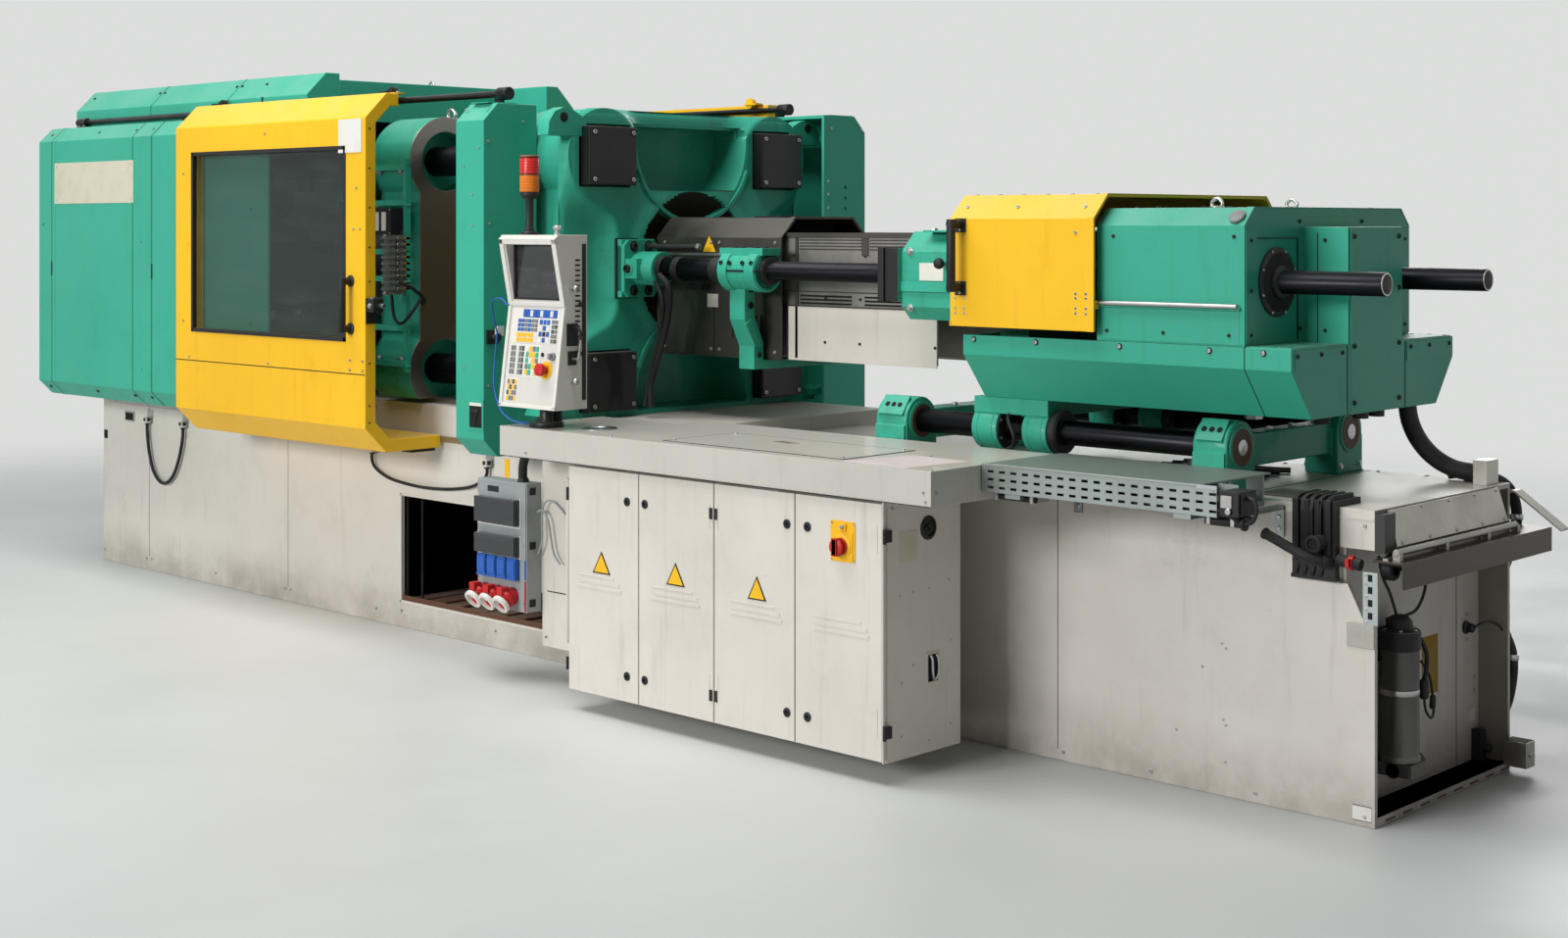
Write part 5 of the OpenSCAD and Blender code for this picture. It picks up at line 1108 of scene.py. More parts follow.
# Nozzle guard: flanges, slots, bare plates and screws
guard = Piece("nozzle_guard_trim", "root", "smoked_sheet", "recess_shade_and_seams", "black_plastic", "ground_steel",
              "light_plastic", "yellow_paint", slot="stainless_sheet", bevel=0.5)
GUARD_LINE = [(-210, 1056), (-210, 1457), (-143, 1524), (143, 1524), (210, 1457), (210, 1056)]
guard.band(GUARD_LINE, 912, 931, 3.2, 0)
guard.band(GUARD_LINE, 334, 346, 3.2, 0)
guard.band([(-210, 1388), (-210, 1391)], 346, 912, 0.7, 1)
guard.band([(210, 1391), (210, 1388)], 346, 912, 0.7, 1)
guard.band([(-210, 1056), (-210, 1388)], 612, 616, 0.7, 1)
for side in (1, -1):
    guard.mirror(side)
    guard.box((352, -214, 1396), (870, -209, 1404), 3)
    guard.grid("screw", (370, 600, 640, 900), -210, (1080, 1364, 1440), FRONT, 6, 3)
    guard.row(7, (22, 0, 0), (700, -211, 1120), (708, -209, 1200), 1)
guard.at()
guard.box((582, -211.6, 1221), (634, -209.5, 1266), 4)
guard.prism([(560, 1408), (622, 1408), (591, 1462)], "y", -212.2, -210, 5)
guard.box((331, -150, 1056), (337, 150, 1066), 0)
guard.box((660, -60, 1522), (780, 60, 1530), 2)
guard.done()


# Barrel cover: flanges, perforations and screws
barrel = Piece("barrel_cover_trim", "carriage", "smoked_sheet", "recess_shade_and_seams", "white_paint",
               "black_plastic", slot="stainless_sheet", bevel=0.4)
for side in (1, -1):
    barrel.mirror(side)
    barrel.box((936, -184, 1057), (1566, -180.5, 1233), 2)
    barrel.box((802, -186, 1233), (1566, -180.5, 1238), 0).box((802, -184, 1281), (1566, -180.5, 1285), 0)
    barrel.box((966, -184, 1064), (978, -182, 1470), 0)
    for z in range(1418, 1458, 10):
        for k in range(34):
            barrel.row(2, (305, 0, 0), (985 + k * 8, -181.4, z), (989.5 + k * 8, -179.6, z + 5), 1)
    for z in range(1242, 1278, 12):
        for k in range(28):
            barrel.row(2, (280, 0, 0), (990 + k * 8, -184.8, z), (994.5 + k * 8, -179.6, z + 6), 1)
    barrel.each("screw", [(x, -184 if z < 1233 else -180.6, z) for x in (1100, 1250, 1560)
                          for z in (1120, 1262)], FRONT, 5, 3)
    barrel.grid("screw", (960, 1270, 1550), -180, 1400, FRONT, 5, 3)
    barrel.box((1256, -183, 1400), (1284, -179.6, 1466), 0)
barrel.at()
barrel.box((800, -186, 1458), (1566, -178, 1474), 0).box((800, 178, 1458), (1566, 186, 1474), 0)
for x in range(960, 1554, 27):
    barrel.row(4, (0, 40, 0), (x, -69, 1471.4), (x + 7, -51, 1472.9), 1)
barrel.box((797, -180, 1060), (801, 180, 1080), 0)
barrel.done()

# Heater bands and their leads on the barrel, seen at the open ends
heaters = Piece("heater_bands", "carriage", "heater_band", "brass", "light_plastic",
                slot="ground_steel", bevel=0.8)
for x in range(560, 1500, 118):
    heaters.lathe((x, 0, AXIS_Z), RIGHT, [(86, 0), (90, 2), (90, 92), (86, 94)], 0, 36)
    heaters.box((x + 30, -12, AXIS_Z + 86), (x + 64, 12, AXIS_Z + 104), 2)
    heaters.rod((x + 40, -6, AXIS_Z + 104), (x + 40, -6, AXIS_Z + 112), 4, 1, 10)
    heaters.rod((x + 54, 6, AXIS_Z + 104), (x + 54, 6, AXIS_Z + 112), 4, 1, 10)
heaters.done()

# Injection head: seal plates, bare plate, knob, bolts
head = Piece("injection_head_trim", "carriage", "green_casting", "black_plastic", "ground_steel",
             "light_plastic", "recess_shade_and_seams", slot="green_paint", bevel=1.5)
for side in (1, -1):
    head.mirror(side)
    head.box((1490, -374, 1268), (1513, -200, 1432), 1)
    head.grid("screw", 1490, (-360, -216), (1284, 1416), LEFT, 9, 2)
    head.lathe((1490, -ROD_Y, AXIS_Z), LEFT, [(50, -2), (50, 8), (42, 12)], 1, 32)
    head.prism([(1566, -356), (1600, -364), (1800, -364), (1834, -356)], "z", 1300, 1330, 0)
    head.each("washer", [(x, -352, z) for x, z in ((1600, 1420), (1830, 1420), (1600, 1250),
                                                   (1830, 1250))], FRONT, 10, 2)
    head.prism([(1640, -340), (1800, -340), (1800, -200), (1640, -200)], "z", 1478, 1484, 0)
    head.grid("washer", (1660, 1780), -310, 1481, UP, 12, 2)
head.at()
head.box((1639, -355, 1333), (1731, -351, 1386), 3)
head.rod((1742, -350, 1386), (1742, -376, 1386), 6, 2, 12)
head.lathe((1742, -376, 1386), FRONT, [(8, 0), (15, 5), (17, 12), (15, 20), (8, 25)], 1, 20)
head.lathe((1566, 0, AXIS_Z), LEFT, [(108, -2), (108, 5), (100, 9)], 0, 40)
head.box((1600, -150, 1480), (1840, 150, 1500), 0)
head.grid("washer", (1620, 1820), (-130, 130), 1500, UP, 12, 2)
head.rod((1720, 0, 1500), (1720, 0, 1560), 64, 0, 32, 4)
head.lathe((1720, 0, 1560), UP, [(76, -14), (76, 0), (70, 4)], 2, 40)
head.lathe((1720, 0, 1560), UP, [(46, 2), (46, 5), (40, 5.6)], 4, 32)
head.pipe([(1600, 300, 1484), (1600, 260, 1530), (1640, 120, 1548), (1660, 60, 1530)], 10, 1)
head.done()

# Yellow hood: end flanges, screws, rivets and handle plates
hood = Piece("injection_hood_trim", "injection_hood", "yellow_paint", "black_plastic", "ground_steel",
             "recess_shade_and_seams", bevel=0.6)
HOOD_LINE = [(-482, 1210), (-482, 1518), (-415, 1585), (415, 1585), (482, 1518), (482, 1210)]
hood.band(HOOD_LINE, 2340, 2361, 2.0, 0)
for side in (1, -1):
    hood.mirror(side)
    for x in (2300, 2334):
        for z in (1258, 1272, 1300, 1312):
            hood.lathe((x, -482, z), FRONT, [(4.5, 0), (4.5, 0.6)], 2, 10)
            hood.lathe((x, -482.5, z), FRONT, [(2.4, 0), (2.4, 0.5)], 3, 8)
    hood.grid("lathe", (1880, 1912), -482, (1248, 1262, 1290, 1302), FRONT, [(4.5, 0), (4.5, 0.6)], 2, 10)
    hood.grid("screw", (1900, 2080, 2310), -450, 1550, SLANT_HIGH, 6, 2)
    hood.screw((2300, -482, 1480), FRONT, 5, 2)
    hood.box((1858, -482, 1210), (1864, -370, 1226), 0)
for x in range(1900, 2340, 84):
    for y in (-404, 404):
        hood.at().cap((x, y, 1585), UP, 6, 2, 4, 3, 2, 12)
hood.at()
for z in (1319, 1499):
    hood.box((1881, -486, z - 20), (1919, -481, z + 20), 1)
    hood.each("screw", [(1900, -486, z + dz) for dz in (-13, 13)], FRONT, 4, 2)
hood.grid("screw", 1859.5, (-430, 430), (1240, 1380, 1500), LEFT, 6, 2)
hood.done()

# Rear hood and drive box: flange rings, cap, rail ends, seams and screws
rear = Piece("rear_hood_trim", "carriage", "green_paint", "recess_shade_and_seams", "ground_steel", "black_plastic",
             "grey_paint", bevel=0.6)
REAR_LINE = [(-447, 1190), (-447, 1499), (-400, 1546), (400, 1546), (447, 1499), (447, 1190)]
rear.band(REAR_LINE, 2786, 2806, 1.6, 0)
rear.band([(-447, 1287), (-447, 1190)], 2360, 2790, 2.2, 0)
rear.band([(447, 1190), (447, 1287)], 2360, 2790, 2.2, 0)
for side in (1, -1):
    rear.mirror(side)
    rear.rod((2352, -460, 1289), (2790, -460, 1289), 7, 2, 14)
    rear.cap((2805, -ROD_Y, AXIS_Z), RIGHT, 92, 4, 84, 8, 3, 44)
    rear.cap((2808, -ROD_Y, AXIS_Z), RIGHT, 78, 6, 70, 6.5, 1, 44)
    for y, z in ring(8, 86, 22.5):
        rear.screw((2812, -ROD_Y + y, AXIS_Z + z), RIGHT, 4, 2)
    rear.cap((2812, -ROD_Y, AXIS_Z), RIGHT, 44, 12, 38, 16, 3, 32)
    for x, y, z in ((2380, -449, 1214), (2560, -449, 1214), (2760, -449, 1214), (2774, -447, 1470),
                    (2400, -447, 1470)):
        rear.screw((x, y, z), FRONT, 5, 3)
    rear.box((2804, -444, 1196), (2808.4, -392, 1490), 0)
    rear.grid("screw", 2808, -420, (1215, 1330, 1460), RIGHT, 5, 3)
    rear.screw((2805, -170, 1510), RIGHT, 6, 3).screw((2805, -170, 1225), RIGHT, 6, 3)
    rear.box((2804, -184, 1195), (2808, -181.5, 1466), 1).box((2804, -396, 1464), (2808, -181, 1466.5), 1)
    rear.band([(-150, 1188), (-150, 1480)], 2846, 2849, 0.6, 1)
    rear.grid("screw", 2870, -150, (1220, 1340, 1460), FRONT, 5, 3)
rear.at()
rear.lathe((2774, -432, 1522), SLANT_HIGH, [(22, -3), (22, 3), (18, 5)], 4, 28)
rear.lathe((2774, 432, 1522), (0, 0.7071, 0.7071), [(22, -3), (22, 3), (18, 5)], 4, 28)
rear.box((2936, -140, 1001), (2940.5, 140, 1490), 0)
rear.grid("screw", 2940.5, (-124, 124), (1030, 1180, 1330, 1470), RIGHT, 7, 3)
rear.row(2, (220, 0, 0), (2460, -398, 1545), (2463, 398, 1546.8), 1)
rear.grid("screw", (2430, 2500, 2640, 2720), (-380, 380), 1546, UP, 6, 3)
for y in (-200, 200):
    eye(rear, (2570, y, 1546), (20, 5, 16, 7), (14, 16), (4, 16, 27), 5)
rear.done()

# Lower housing: seams, screws and hose stubs below it
under = Piece("lower_housing_trim", "carriage", "green_paint", "recess_shade_and_seams", "ground_steel",
              "black_plastic", bevel=0.6)
LOWER_LINE = [(-447, 1185), (-447, 1128), (-344.6, 1000)]
for side in (1, -1):
    under.mirror(side)
    under.band(LOWER_LINE, 2803, 2806, 0.6, 1)
    for x in (1920, 2140, 2420, 2700, 2860):
        under.cap((x, -447, 1172), FRONT, 9, 1, 8, 2, 3, 16).screw((x, -448, 1172), FRONT, 6, 2)
    under.box((2938.5, -430, 1128), (2942, -168, 1180), 0)
    under.box((2939.5, -161.5, 1002), (2941, -158.5, 1184), 1)
    under.grid("screw", 2941.5, (-420, -300, -190), 1166, RIGHT, 6, 3)
    under.grid("screw", (2826, 2880, 2925), -425, 1185, UP, 6, 3)
    under.box((2806, -440, 1184), (2936, -158, 1187.5), 0)
under.at()
under.row(5, (100, 0, 0), (2150, -262, 996), (2190, 262, 1001), 0)
for y, x in ((120, 2560), (60, 2600), (0, 2560), (-60, 2600)):
    under.rod((x, y, 1000), (x, y, 958), 20, 3, 20).lathe((x, y, 962), UP, [(26, 0), (26, 18)], 2, 6)
for y in (-150, 60, 150):
    under.rod((2860, y, 1000), (2860, y, 972), 22, 3, 20)
under.done()

# Bar supports, collars and guide bars: pads with three holes, end discs, seal rings, screws
BAR_Z, BAR_Y, SUPPORT_R = 908, 294, 72
SUPPORTS = ((1477, 1598), (2597, 2702))
COLLARS = ((1840, 1930), (2022, 2106))
supports = Piece("bar_support_trim", "root", "green_casting", "recess_shade_and_seams", "rusty_brown", "ground_steel",
                 slot="green_paint", bevel=1.2)
for side in (1, -1):
    supports.mirror(side)
    for x0, x1 in SUPPORTS:
        middle = (x0 + x1) / 2
        supports.prism([(-BAR_Y - SUPPORT_R - 7, DECK_Z + 2), (-BAR_Y - SUPPORT_R + 1, DECK_Z + 2),
                        (-BAR_Y - SUPPORT_R + 1, BAR_Z - 8), (-BAR_Y - SUPPORT_R - 7, BAR_Z - 14)], "x",
                       x0 + 4, x1 - 4, 0)
        supports.prism([(-BAR_Y - SUPPORT_R - 9, DECK_Z + 20), (-BAR_Y - SUPPORT_R - 5, DECK_Z + 20),
                        (-BAR_Y - SUPPORT_R - 5, BAR_Z - 46), (-BAR_Y - SUPPORT_R - 9, BAR_Z - 46)], "x",
                       x0 + 24, x1 - 24, 0)
        supports.prism([(-BAR_Y - 71, BAR_Z + 16), (-BAR_Y - 78, BAR_Z + 22), (-BAR_Y - 40, BAR_Z + 76),
                        (-BAR_Y - 33, BAR_Z + 64)], "x", x0 + 12, x1 - 12, 0)
        supports.each("cap", [(middle + dx, -BAR_Y - 59, BAR_Z + 49) for dx in (-24, 0, 24)],
                      (0, -0.82, 0.57), 8.5, 1, 7, 1.2, 1, 16)
        for x, way in ((x0, -1), (x1, 1)):
            supports.cap((x, -BAR_Y, BAR_Z), (way, 0, 0), 60, 3, 56, 4, 0, 40)
            supports.lathe((x + way * 4, -BAR_Y, BAR_Z), (way, 0, 0),
                           [(50, 0), (50, 1.2), (36, 1.4), (36, 0.4), (35, 0.5)], 2, 40)
            supports.washer((x, -BAR_Y - 56, DECK_Z + 22), (way, 0, 0), 8, 3)
            supports.washer((x, -BAR_Y + 56, DECK_Z + 22), (way, 0, 0), 8, 3)
    supports.cap((2706, -BAR_Y, BAR_Z), RIGHT, 22, 2, 18, 3, 3, 24)
supports.at()
for x0, x1 in SUPPORTS:
    for y in (-180, -60, 60, 180):
        supports.washer(((x0 + x1) / 2, y, 938), UP, 10, 3)
supports.done()

bars = Piece("guide_bar_trim", "root", "black_plastic", "ground_steel", bevel=0.8)
for side in (1, -1):
    bars.mirror(side)
    bars.cap((1598, -BAR_Y, BAR_Z), RIGHT, 44, 2, 41, 3, 0, 32)
    bars.cap((2597, -BAR_Y, BAR_Z), LEFT, 44, 2, 41, 3, 0, 32)
    # Bright turned end of the traverse rod
    bars.lathe((3118, -ROD_Y, AXIS_Z), RIGHT, [(29.5, -1), (29.5, 0.6), (28.5, 1.6), (24, 1.6)], 2, 40)
    bars.lathe((3118, -ROD_Y, AXIS_Z), RIGHT, [(25.5, 1.2), (25.5, 1.9), (24.8, 2.2)], 0, 40)
bars.done()

collars = Piece("collar_trim", "carriage", "green_casting", "black_plastic", "ground_steel",
                slot="green_paint", bevel=1.0)
for side in (1, -1):
    collars.mirror(side)
    for x0, x1 in COLLARS:
        for x, way in ((x0, -1), (x1, 1)):
            collars.lathe((x, -BAR_Y, BAR_Z), (way, 0, 0), [(60, -1), (60, 4), (54, 7), (40, 7)], 1, 40)
            for y, z in ring(6, 52, 30):
                collars.screw((x + way * 5, -BAR_Y + y, BAR_Z + z), (way, 0, 0), 4, 2)
        collars.each("lathe", [(x0 + dx, -BAR_Y, BAR_Z) for dx in (18, (x1 - x0) - 18)], RIGHT,
                     [(64.6, -2), (65.6, 0), (64.6, 2)], 0, 48)
        collars.grid("washer", (x0 + 24, x1 - 24), -BAR_Y - 34, BAR_Z + 69, FRONT, 9, 2)
    collars.lathe((COLLARS[1][1] + 6, -BAR_Y, BAR_Z), RIGHT, [(62, 0), (62, 18), (56, 24), (42, 24)], 1, 40)
    collars.pipe([(1960, -BAR_Y - 30, 960), (1976, -BAR_Y - 66, 940), (2000, -BAR_Y - 72, 900),
                  (1990, -BAR_Y - 60, 866), (1958, -BAR_Y - 50, 850)], 6, 1)
collars.done()

# Deck of the injection base: seams, screws, small valves and thin cables lying on it
deck = Piece("deck_trim", "root", "recess_shade_and_seams", "ground_steel", "brass", "black_plastic",
             "stainless_sheet", slot="white_paint", bevel=0.5)
for x in (2190, 2720):
    deck.box((x - 1.5, -384, DECK_Z - 0.5), (x + 1.5, 384, DECK_Z + 0.7), 0)
deck.grid("screw", (2210, 2450, 2700, 2750, 2900), (-370, 370), DECK_Z, UP, 6, 1)
for x, y in ((1690, -330), (1780, -320), (2290, -290), (2420, -300)):
    deck.lathe((x, y, DECK_Z), UP, [(16, 0), (16, 10), (10, 12), (10, 24), (13, 26),
                                    (13, 34), (9, 36)], 2, 6)
    deck.rod((x - 22, y, DECK_Z + 30), (x + 22, y, DECK_Z + 30), 6, 1, 12)
for start, y in ((1660, -344), (1700, -352), (1760, -338)):
    deck.pipe([(start, y, DECK_Z + 5), (start + 120, y - 14, DECK_Z + 5), (start + 260, y + 10, DECK_Z + 5),
               (start + 420, y - 8, DECK_Z + 5), (start + 540, y + 16, DECK_Z + 5)], 4, 3)
for y in (150, 90, 30, -40):
    deck.pipe([(2240, y, DECK_Z + 9), (2360, y + 20, DECK_Z + 9), (2500, y - 10, DECK_Z + 9),
               (2590, y + 6, DECK_Z + 9)], 8, 3)
deck.box((2450, -250, DECK_Z), (2560, -150, DECK_Z + 46), 3)
deck.rod((2505, -200, DECK_Z + 46), (2505, -200, DECK_Z + 66), 24, 1, 28)
deck.box((2760, -310, DECK_Z), (2880, -180, DECK_Z + 5), 4)
deck.done()

# Cable tray: black cables, connector box, tubes with end rings below it, brackets and lip
tray = Piece("cable_tray_trim", "root", "black_plastic", "ground_steel", "hose_rubber", "galvanised",
             slot="galvanised", bevel=0.6)
for k, (y, z) in enumerate(((-724, 800), (-706, 800), (-690, 804), (-672, 802), (-714, 820),
                            (-696, 822), (-676, 822))):
    tray.pipe([(2200, y, z), (2500, y + 4, z + 3), (2700, y - 3, z), (2890, y, z + 1),
               (2930, y + 6, z - 8 - 2 * k), (2948, y + 22, z - 26)], 7.5, 2)
tray.box((2908, -736, 792), (2962, -654, 852), 0).box((2914, -739, 812), (2944, -735, 842), 1)
tray.box((2960, -726, 800), (2967, -664, 846), 0).rod((2936, -738, 804), (2936, -744, 804), 8, 1, 16)
tray.pipe([(2966, -700, 836), (2984, -700, 830), (2990, -700, 806), (2980, -704, 780),
           (2950, -706, 770)], 6, 2)
tray.rod((2850, -700, 772), (2952, -700, 772), 11, 0, 18)
tray.lathe((2952, -700, 772), RIGHT, [(11, 0), (17, 2), (17, 9), (12, 12), (7, 12), (6, 4)], 0, 22)
tray.rod((2196, -700, 772), (2330, -700, 772), 8, 0, 18)
for x in (2206, 2322, 2862, 2930):
    tray.box((x - 5, -712, 764), (x + 5, -640, 788), 1)
for x in (2230, 2860):
    tray.box((x, -640, 770), (x + 26, -386, 780), 3).box((x, -392, 700), (x + 26, -385.5, 780), 3)
    tray.grid("washer", x + 13, -392, (720, 750), FRONT, 6, 1)
tray.grid("screw", (2190, 2896), -742, 852, FRONT, 3, 1)
tray.box((2179, -743.4, 855), (2906, -741.6, 864), 3)
tray.done()

# Saddle of the hoses at the right end: bent ribs, stub ring, hose end, valve, coupling and slotted bracket
saddle = Piece("hose_saddle_trim", "root", "black_plastic", "hose_rubber", "recess_shade_and_seams", "signal_red",
               "galvanised", "ground_steel", bevel=0.8)
for x in range(2925, 3040, 23):
    saddle.ribbon([(-409, 652), (-411, 780), (-404, 806), (-386, 812), (-290, 812)], "x", x, x + 11, 11, 0)
for k in range(4):
    saddle.pipe([(2936 + k * 23, -404, 640), (2934 + k * 23, -410, 626), (2930 + k * 22, -404, 612)], 5, 1)
saddle.box((2916, -409, 604), (3043, -386, 614), 0)
saddle.lathe((3002, -445, 700), FRONT, [(20, 0), (22, 1), (22, 8), (19, 10), (14, 10), (13, 1)], 0, 28)
saddle.lathe((3002, -452, 700), FRONT, [(12.5, 0), (12.5, 0.6)], 2, 20)
saddle.pipe([(2884, -474, 716), (2910, -470, 704), (2950, -462, 684), (2990, -452, 666), (3018, -430, 656),
             (3026, -404, 654)], 13, 1, 18)
saddle.lathe((2884, -474, 716), (-0.93, 0.1, 0.36), [(13.4, -3), (15, 0), (15, 7), (12, 9),
                                                     (9, 9), (8, 2)], 0, 22)
saddle.lathe((3020, -427, 656), (0.6, 0.78, 0), [(15, -8), (17, -4), (17, 4), (15, 8)], 0, 22)
saddle.rod((3040, -396, 660), (3104, -392, 652), 15, 1, 18)
saddle.lathe((3078, -394, 655), (1, 0.06, -0.1), [(15, -9), (19, -6), (19, 6), (15, 9)], 3, 20)
saddle.box((3074, -422, 648), (3084, -406, 668), 3)
saddle.lathe((3136, -330, 640), RIGHT, [(24, 0), (28, 4), (28, 26), (24, 30), (15, 30), (14, 14)], 0, 26)
saddle.rod((3136, -268, 648), (3168, -262, 640), 17, 0, 18)
saddle.rod((3162, -262, 640), (3176, -258, 637), 20, 5, 6)
saddle.box((3108, -393.5, 506), (3148, -390, 637), 4)
for z in (520, 552, 584, 614):
    saddle.box((3122, -394.4, z), (3134, -389.6, z + 17), 2)
saddle.grid("washer", 3116, -393.5, (512, 544, 576, 608, 630), FRONT, 3.5, 5)
saddle.done()

# Right end: hatch screws, ledge rail, sensor with its cable, bare patches, screws of the bottom sill
END_X, WALL_X = 3136, 3050
right_end = Piece("right_end_trim", "root", "stainless_sheet", "recess_shade_and_seams", "black_plastic",
                  "ochre_label", "light_plastic", "ground_steel", "rusty_brown", bevel=0.5)
# Painted shade: the thin near-black strip below the ledge
right_end.box((3162, -394, 668), (3176, 296, 676), 0).box((3168, -396, 660), (3215, 420, 664), 1)
right_end.rod((3190, -380, 690), (3190, 300, 690), 9, 0, 14)
for y in (-370, -120, 120, 300):
    right_end.box((3180, y - 8, 670), (3200, y + 8, 690), 0)
for y in (-300, -150, 0, 150, 280):
    right_end.screw((3142, y, 780), (0.6, 0, 0.8), 6, 5).screw((3166, y, 706), (0.95, 0, 0.3), 6, 5)
right_end.lathe((WALL_X, 293, 394), RIGHT, [(18, 0), (18, 6), (13, 9), (13, 22), (9, 26)], 2, 22)
right_end.pipe([(3074, 293, 394), (3090, 300, 408), (3104, 330, 412), (3116, 362, 396), (3122, 378, 374),
                (3124, 380, 350)], 3, 2)
right_end.box((WALL_X - 0.4, 39, 245), (WALL_X + 1.2, 129, 401), 3)
for z in (130, 556):
    right_end.box((WALL_X - 0.4, 318, z), (WALL_X + 1.6, 352, z + 34), 4)
right_end.box((WALL_X - 0.4, 236, 28), (WALL_X + 2, 240, 772), 0)
for y, z in ((300, 430), (300, 360), (345, 214), (345, 250), (0, 720), (-330, 720)):
    right_end.screw((WALL_X, y, z), RIGHT, 5, 5)
right_end.box((WALL_X, 330, 24), (WALL_X + 30, 356, 108), 2)
right_end.rod((WALL_X + 15, 343, 60), (WALL_X + 50, 343, 60), 12, 2, 16)
for y in range(-330, 331, 94):
    right_end.box((END_X - 3, y, 6), (END_X + 0.8, y + 52, 12), 6).screw((END_X, y + 70, 14), RIGHT, 4, 5)
right_end.box((3052, -384, 22.5), (3136, 370, 24), 6)
right_end.box((3138, 348, 84), (3198, 396, 91), 1).screw((3200, 372, 54), RIGHT, 7, 5)
right_end.box((3076, -386.6, 14), (3128, -384.6, 50), 4)
for z0, z1 in ((13, 14.4), (49.6, 51)):
    right_end.box((3076, -387.2, z0), (3128, -385, z1), 1)
right_end.done()

# Far hoses: from the deck down along the far side to the floor end
far_hoses = Piece("far_hoses", "root", "hose_rubber", "ground_steel", bevel=0.0)
far_hoses.pipe([(3030, 330, 800), (3080, 372, 804), (3118, 420, 770), (3128, 446, 690), (3112, 432, 590),
                (3092, 410, 500), (3096, 416, 400), (3118, 440, 300), (3112, 430, 190),
                (3090, 404, 120)], 15, 0, 18, 8)
far_hoses.pipe([(2980, 336, 804), (3040, 384, 806), (3084, 424, 760), (3100, 436, 660), (3078, 420, 540),
                (3060, 408, 430), (3076, 424, 320), (3088, 430, 210), (3066, 402, 130)], 12, 0, 16, 8)
for point in ((3128, 446, 690), (3118, 440, 300)):
    far_hoses.lathe(point, UP, [(17, -8), (18, -6), (18, 6), (17, 8)], 1, 24)
far_hoses.done()

# Oil filter: cap with studs, band, looping leads, foot with a round end
FILTER = (3103, -190)
oil = Piece("oil_filter_trim", "root", "black_plastic", "filter_grey", "hose_rubber",
            "ground_steel", bevel=0.8)
oil.lathe((*FILTER, 414), UP, [(50, 0), (53.4, 3), (53.4, 46), (48, 52), (34, 54), (32, 72), (22, 84),
                               (12, 88)], 0, 40)
for x, y in ring(6, 42):
    oil.washer((FILTER[0] + x, FILTER[1] + y, 464), UP, 6, 3)
oil.box((3076, -214, 466), (3104, -150, 494), 0)
oil.lathe((*FILTER, 300), UP, [(49.2, 0), (50.2, 2), (50.2, 12), (49.2, 14)], 3, 40)
oil.lathe((*FILTER, 128), UP, [(49.3, 0), (52, 3), (52, 14), (49.3, 18)], 1, 40)
oil.rod((3103, -230, 108), (3103, -112, 108), 20, 0, 20)
oil.lathe((3103, -112, 108), BACK, [(24, -6), (26, 0), (26, 16), (20, 20)], 0, 24)
oil.pipe([(3100, -200, 500), (3098, -232, 560), (3092, -262, 610), (3088, -272, 660)], 4, 2)
oil.pipe([(3106, -176, 496), (3120, -130, 510), (3124, -92, 560), (3112, -78, 610), (3100, -74, 660)], 4, 2)
oil.pipe([(3140, -150, 440), (3152, -140, 400), (3148, -136, 350), (3140, -134, 330)], 6, 2)
oil.lathe((3142, -134, 332), DOWN, [(9, 0), (12, 3), (12, 44), (8, 50)], 0, 20)
oil.pipe([(3142, -134, 284), (3142, -124, 250), (3140, -92, 226), (3136, -70, 236), (3132, -64, 270),
          (3128, -76, 330), (3118, -104, 372)], 3.4, 2)
oil.lathe((3132, -66, 262), (0, 0.1, 1), [(5, -18), (8, -14), (8, 14), (5, 18)], 0, 14)
oil.done()


# Bases: panel seams, screws, scuffed sill, hatch frame, glands, side marks, vents and lids on the far side
CLAMP_Y = -515
base = Piece("clamp_base_trim", "root", "white_paint", "recess_shade_and_seams", "rusty_brown", "ground_steel",
             "black_plastic", "yellow_paint", bevel=0.6)
base.frame((-748, 92), (388, 498), -517.5, -514, 8)
base.box((-736, -510, 101), (376, -60, 106), 2).box((-736, -512, 101), (376, -506, 118), 2)
for k in range(9):
    base.box((-700 + k * 118, -500, 106), (-640 + k * 118, -120, 110 + 3 * (k % 3)), 2)
for x in (-730, -640, 370):
    base.box((x, -500, 106), (x + 8, -494, 486), 1)
for x in (-2580, -1500):
    base.box((x - 1, -515.7, 60), (x + 1, -514.4, 836), 1)
base.grid("screw", (-2966, -2600, -2560, -2040, -1520, -1480, -900), CLAMP_Y, (48, 812), FRONT, 5, 3)
base.grid("screw", (-740, -180, 380), CLAMP_Y, 60, FRONT, 5, 3)
base.box((-130, -516.2, 608), (-103, -514.6, 674), 5)
base.box((-2784, -520, 635), (-2705, -514, 679), 3).box((-2776, -521.4, 641), (-2713, -519, 673), 1)
base.box((-2974, -516.6, 545), (-2944, -514.6, 583), 1)
for x in (-2570, -2276, -906, -211):
    base.cap((x, -531, 662), DOWN, 17, 12, 14, 15, 4, 6)
    base.lathe((x, -531, 646), DOWN, [(13, 0), (11, 10), (9, 12)], 4, 18)
    base.box((x - 22, -519, 638), (x + 22, -514, 694), 3)
for x in (-2940, -1800, -700, 200):
    base.mirror(-1)
    base.box((x, -518, 150), (x + 480, -514, 620), 0).box((x + 30, -519, 548), (x + 450, -517, 560), 1)
    base.row(6, (0, 0, -22), (x + 60, -519.4, 470), (x + 420, -517, 480), 1)
    base.each("screw", [(x + dx, -518, z) for dx in (18, 462) for z in (168, 602)], FRONT, 5, 3)
    base.cap((x + 452, -518, 380), FRONT, 15, 3, 12, 5, 4, 20)
base.at()
base.grid("screw", -2980, (-480, 0, 480), (80, 780), LEFT, 6, 3)
base.box((-2982, -440, 150), (-2978, 440, 700), 0)
base.row(8, (0, 0, -24), (-2983.4, -360, 560), (-2981, 360, 571), 1)
base.done()

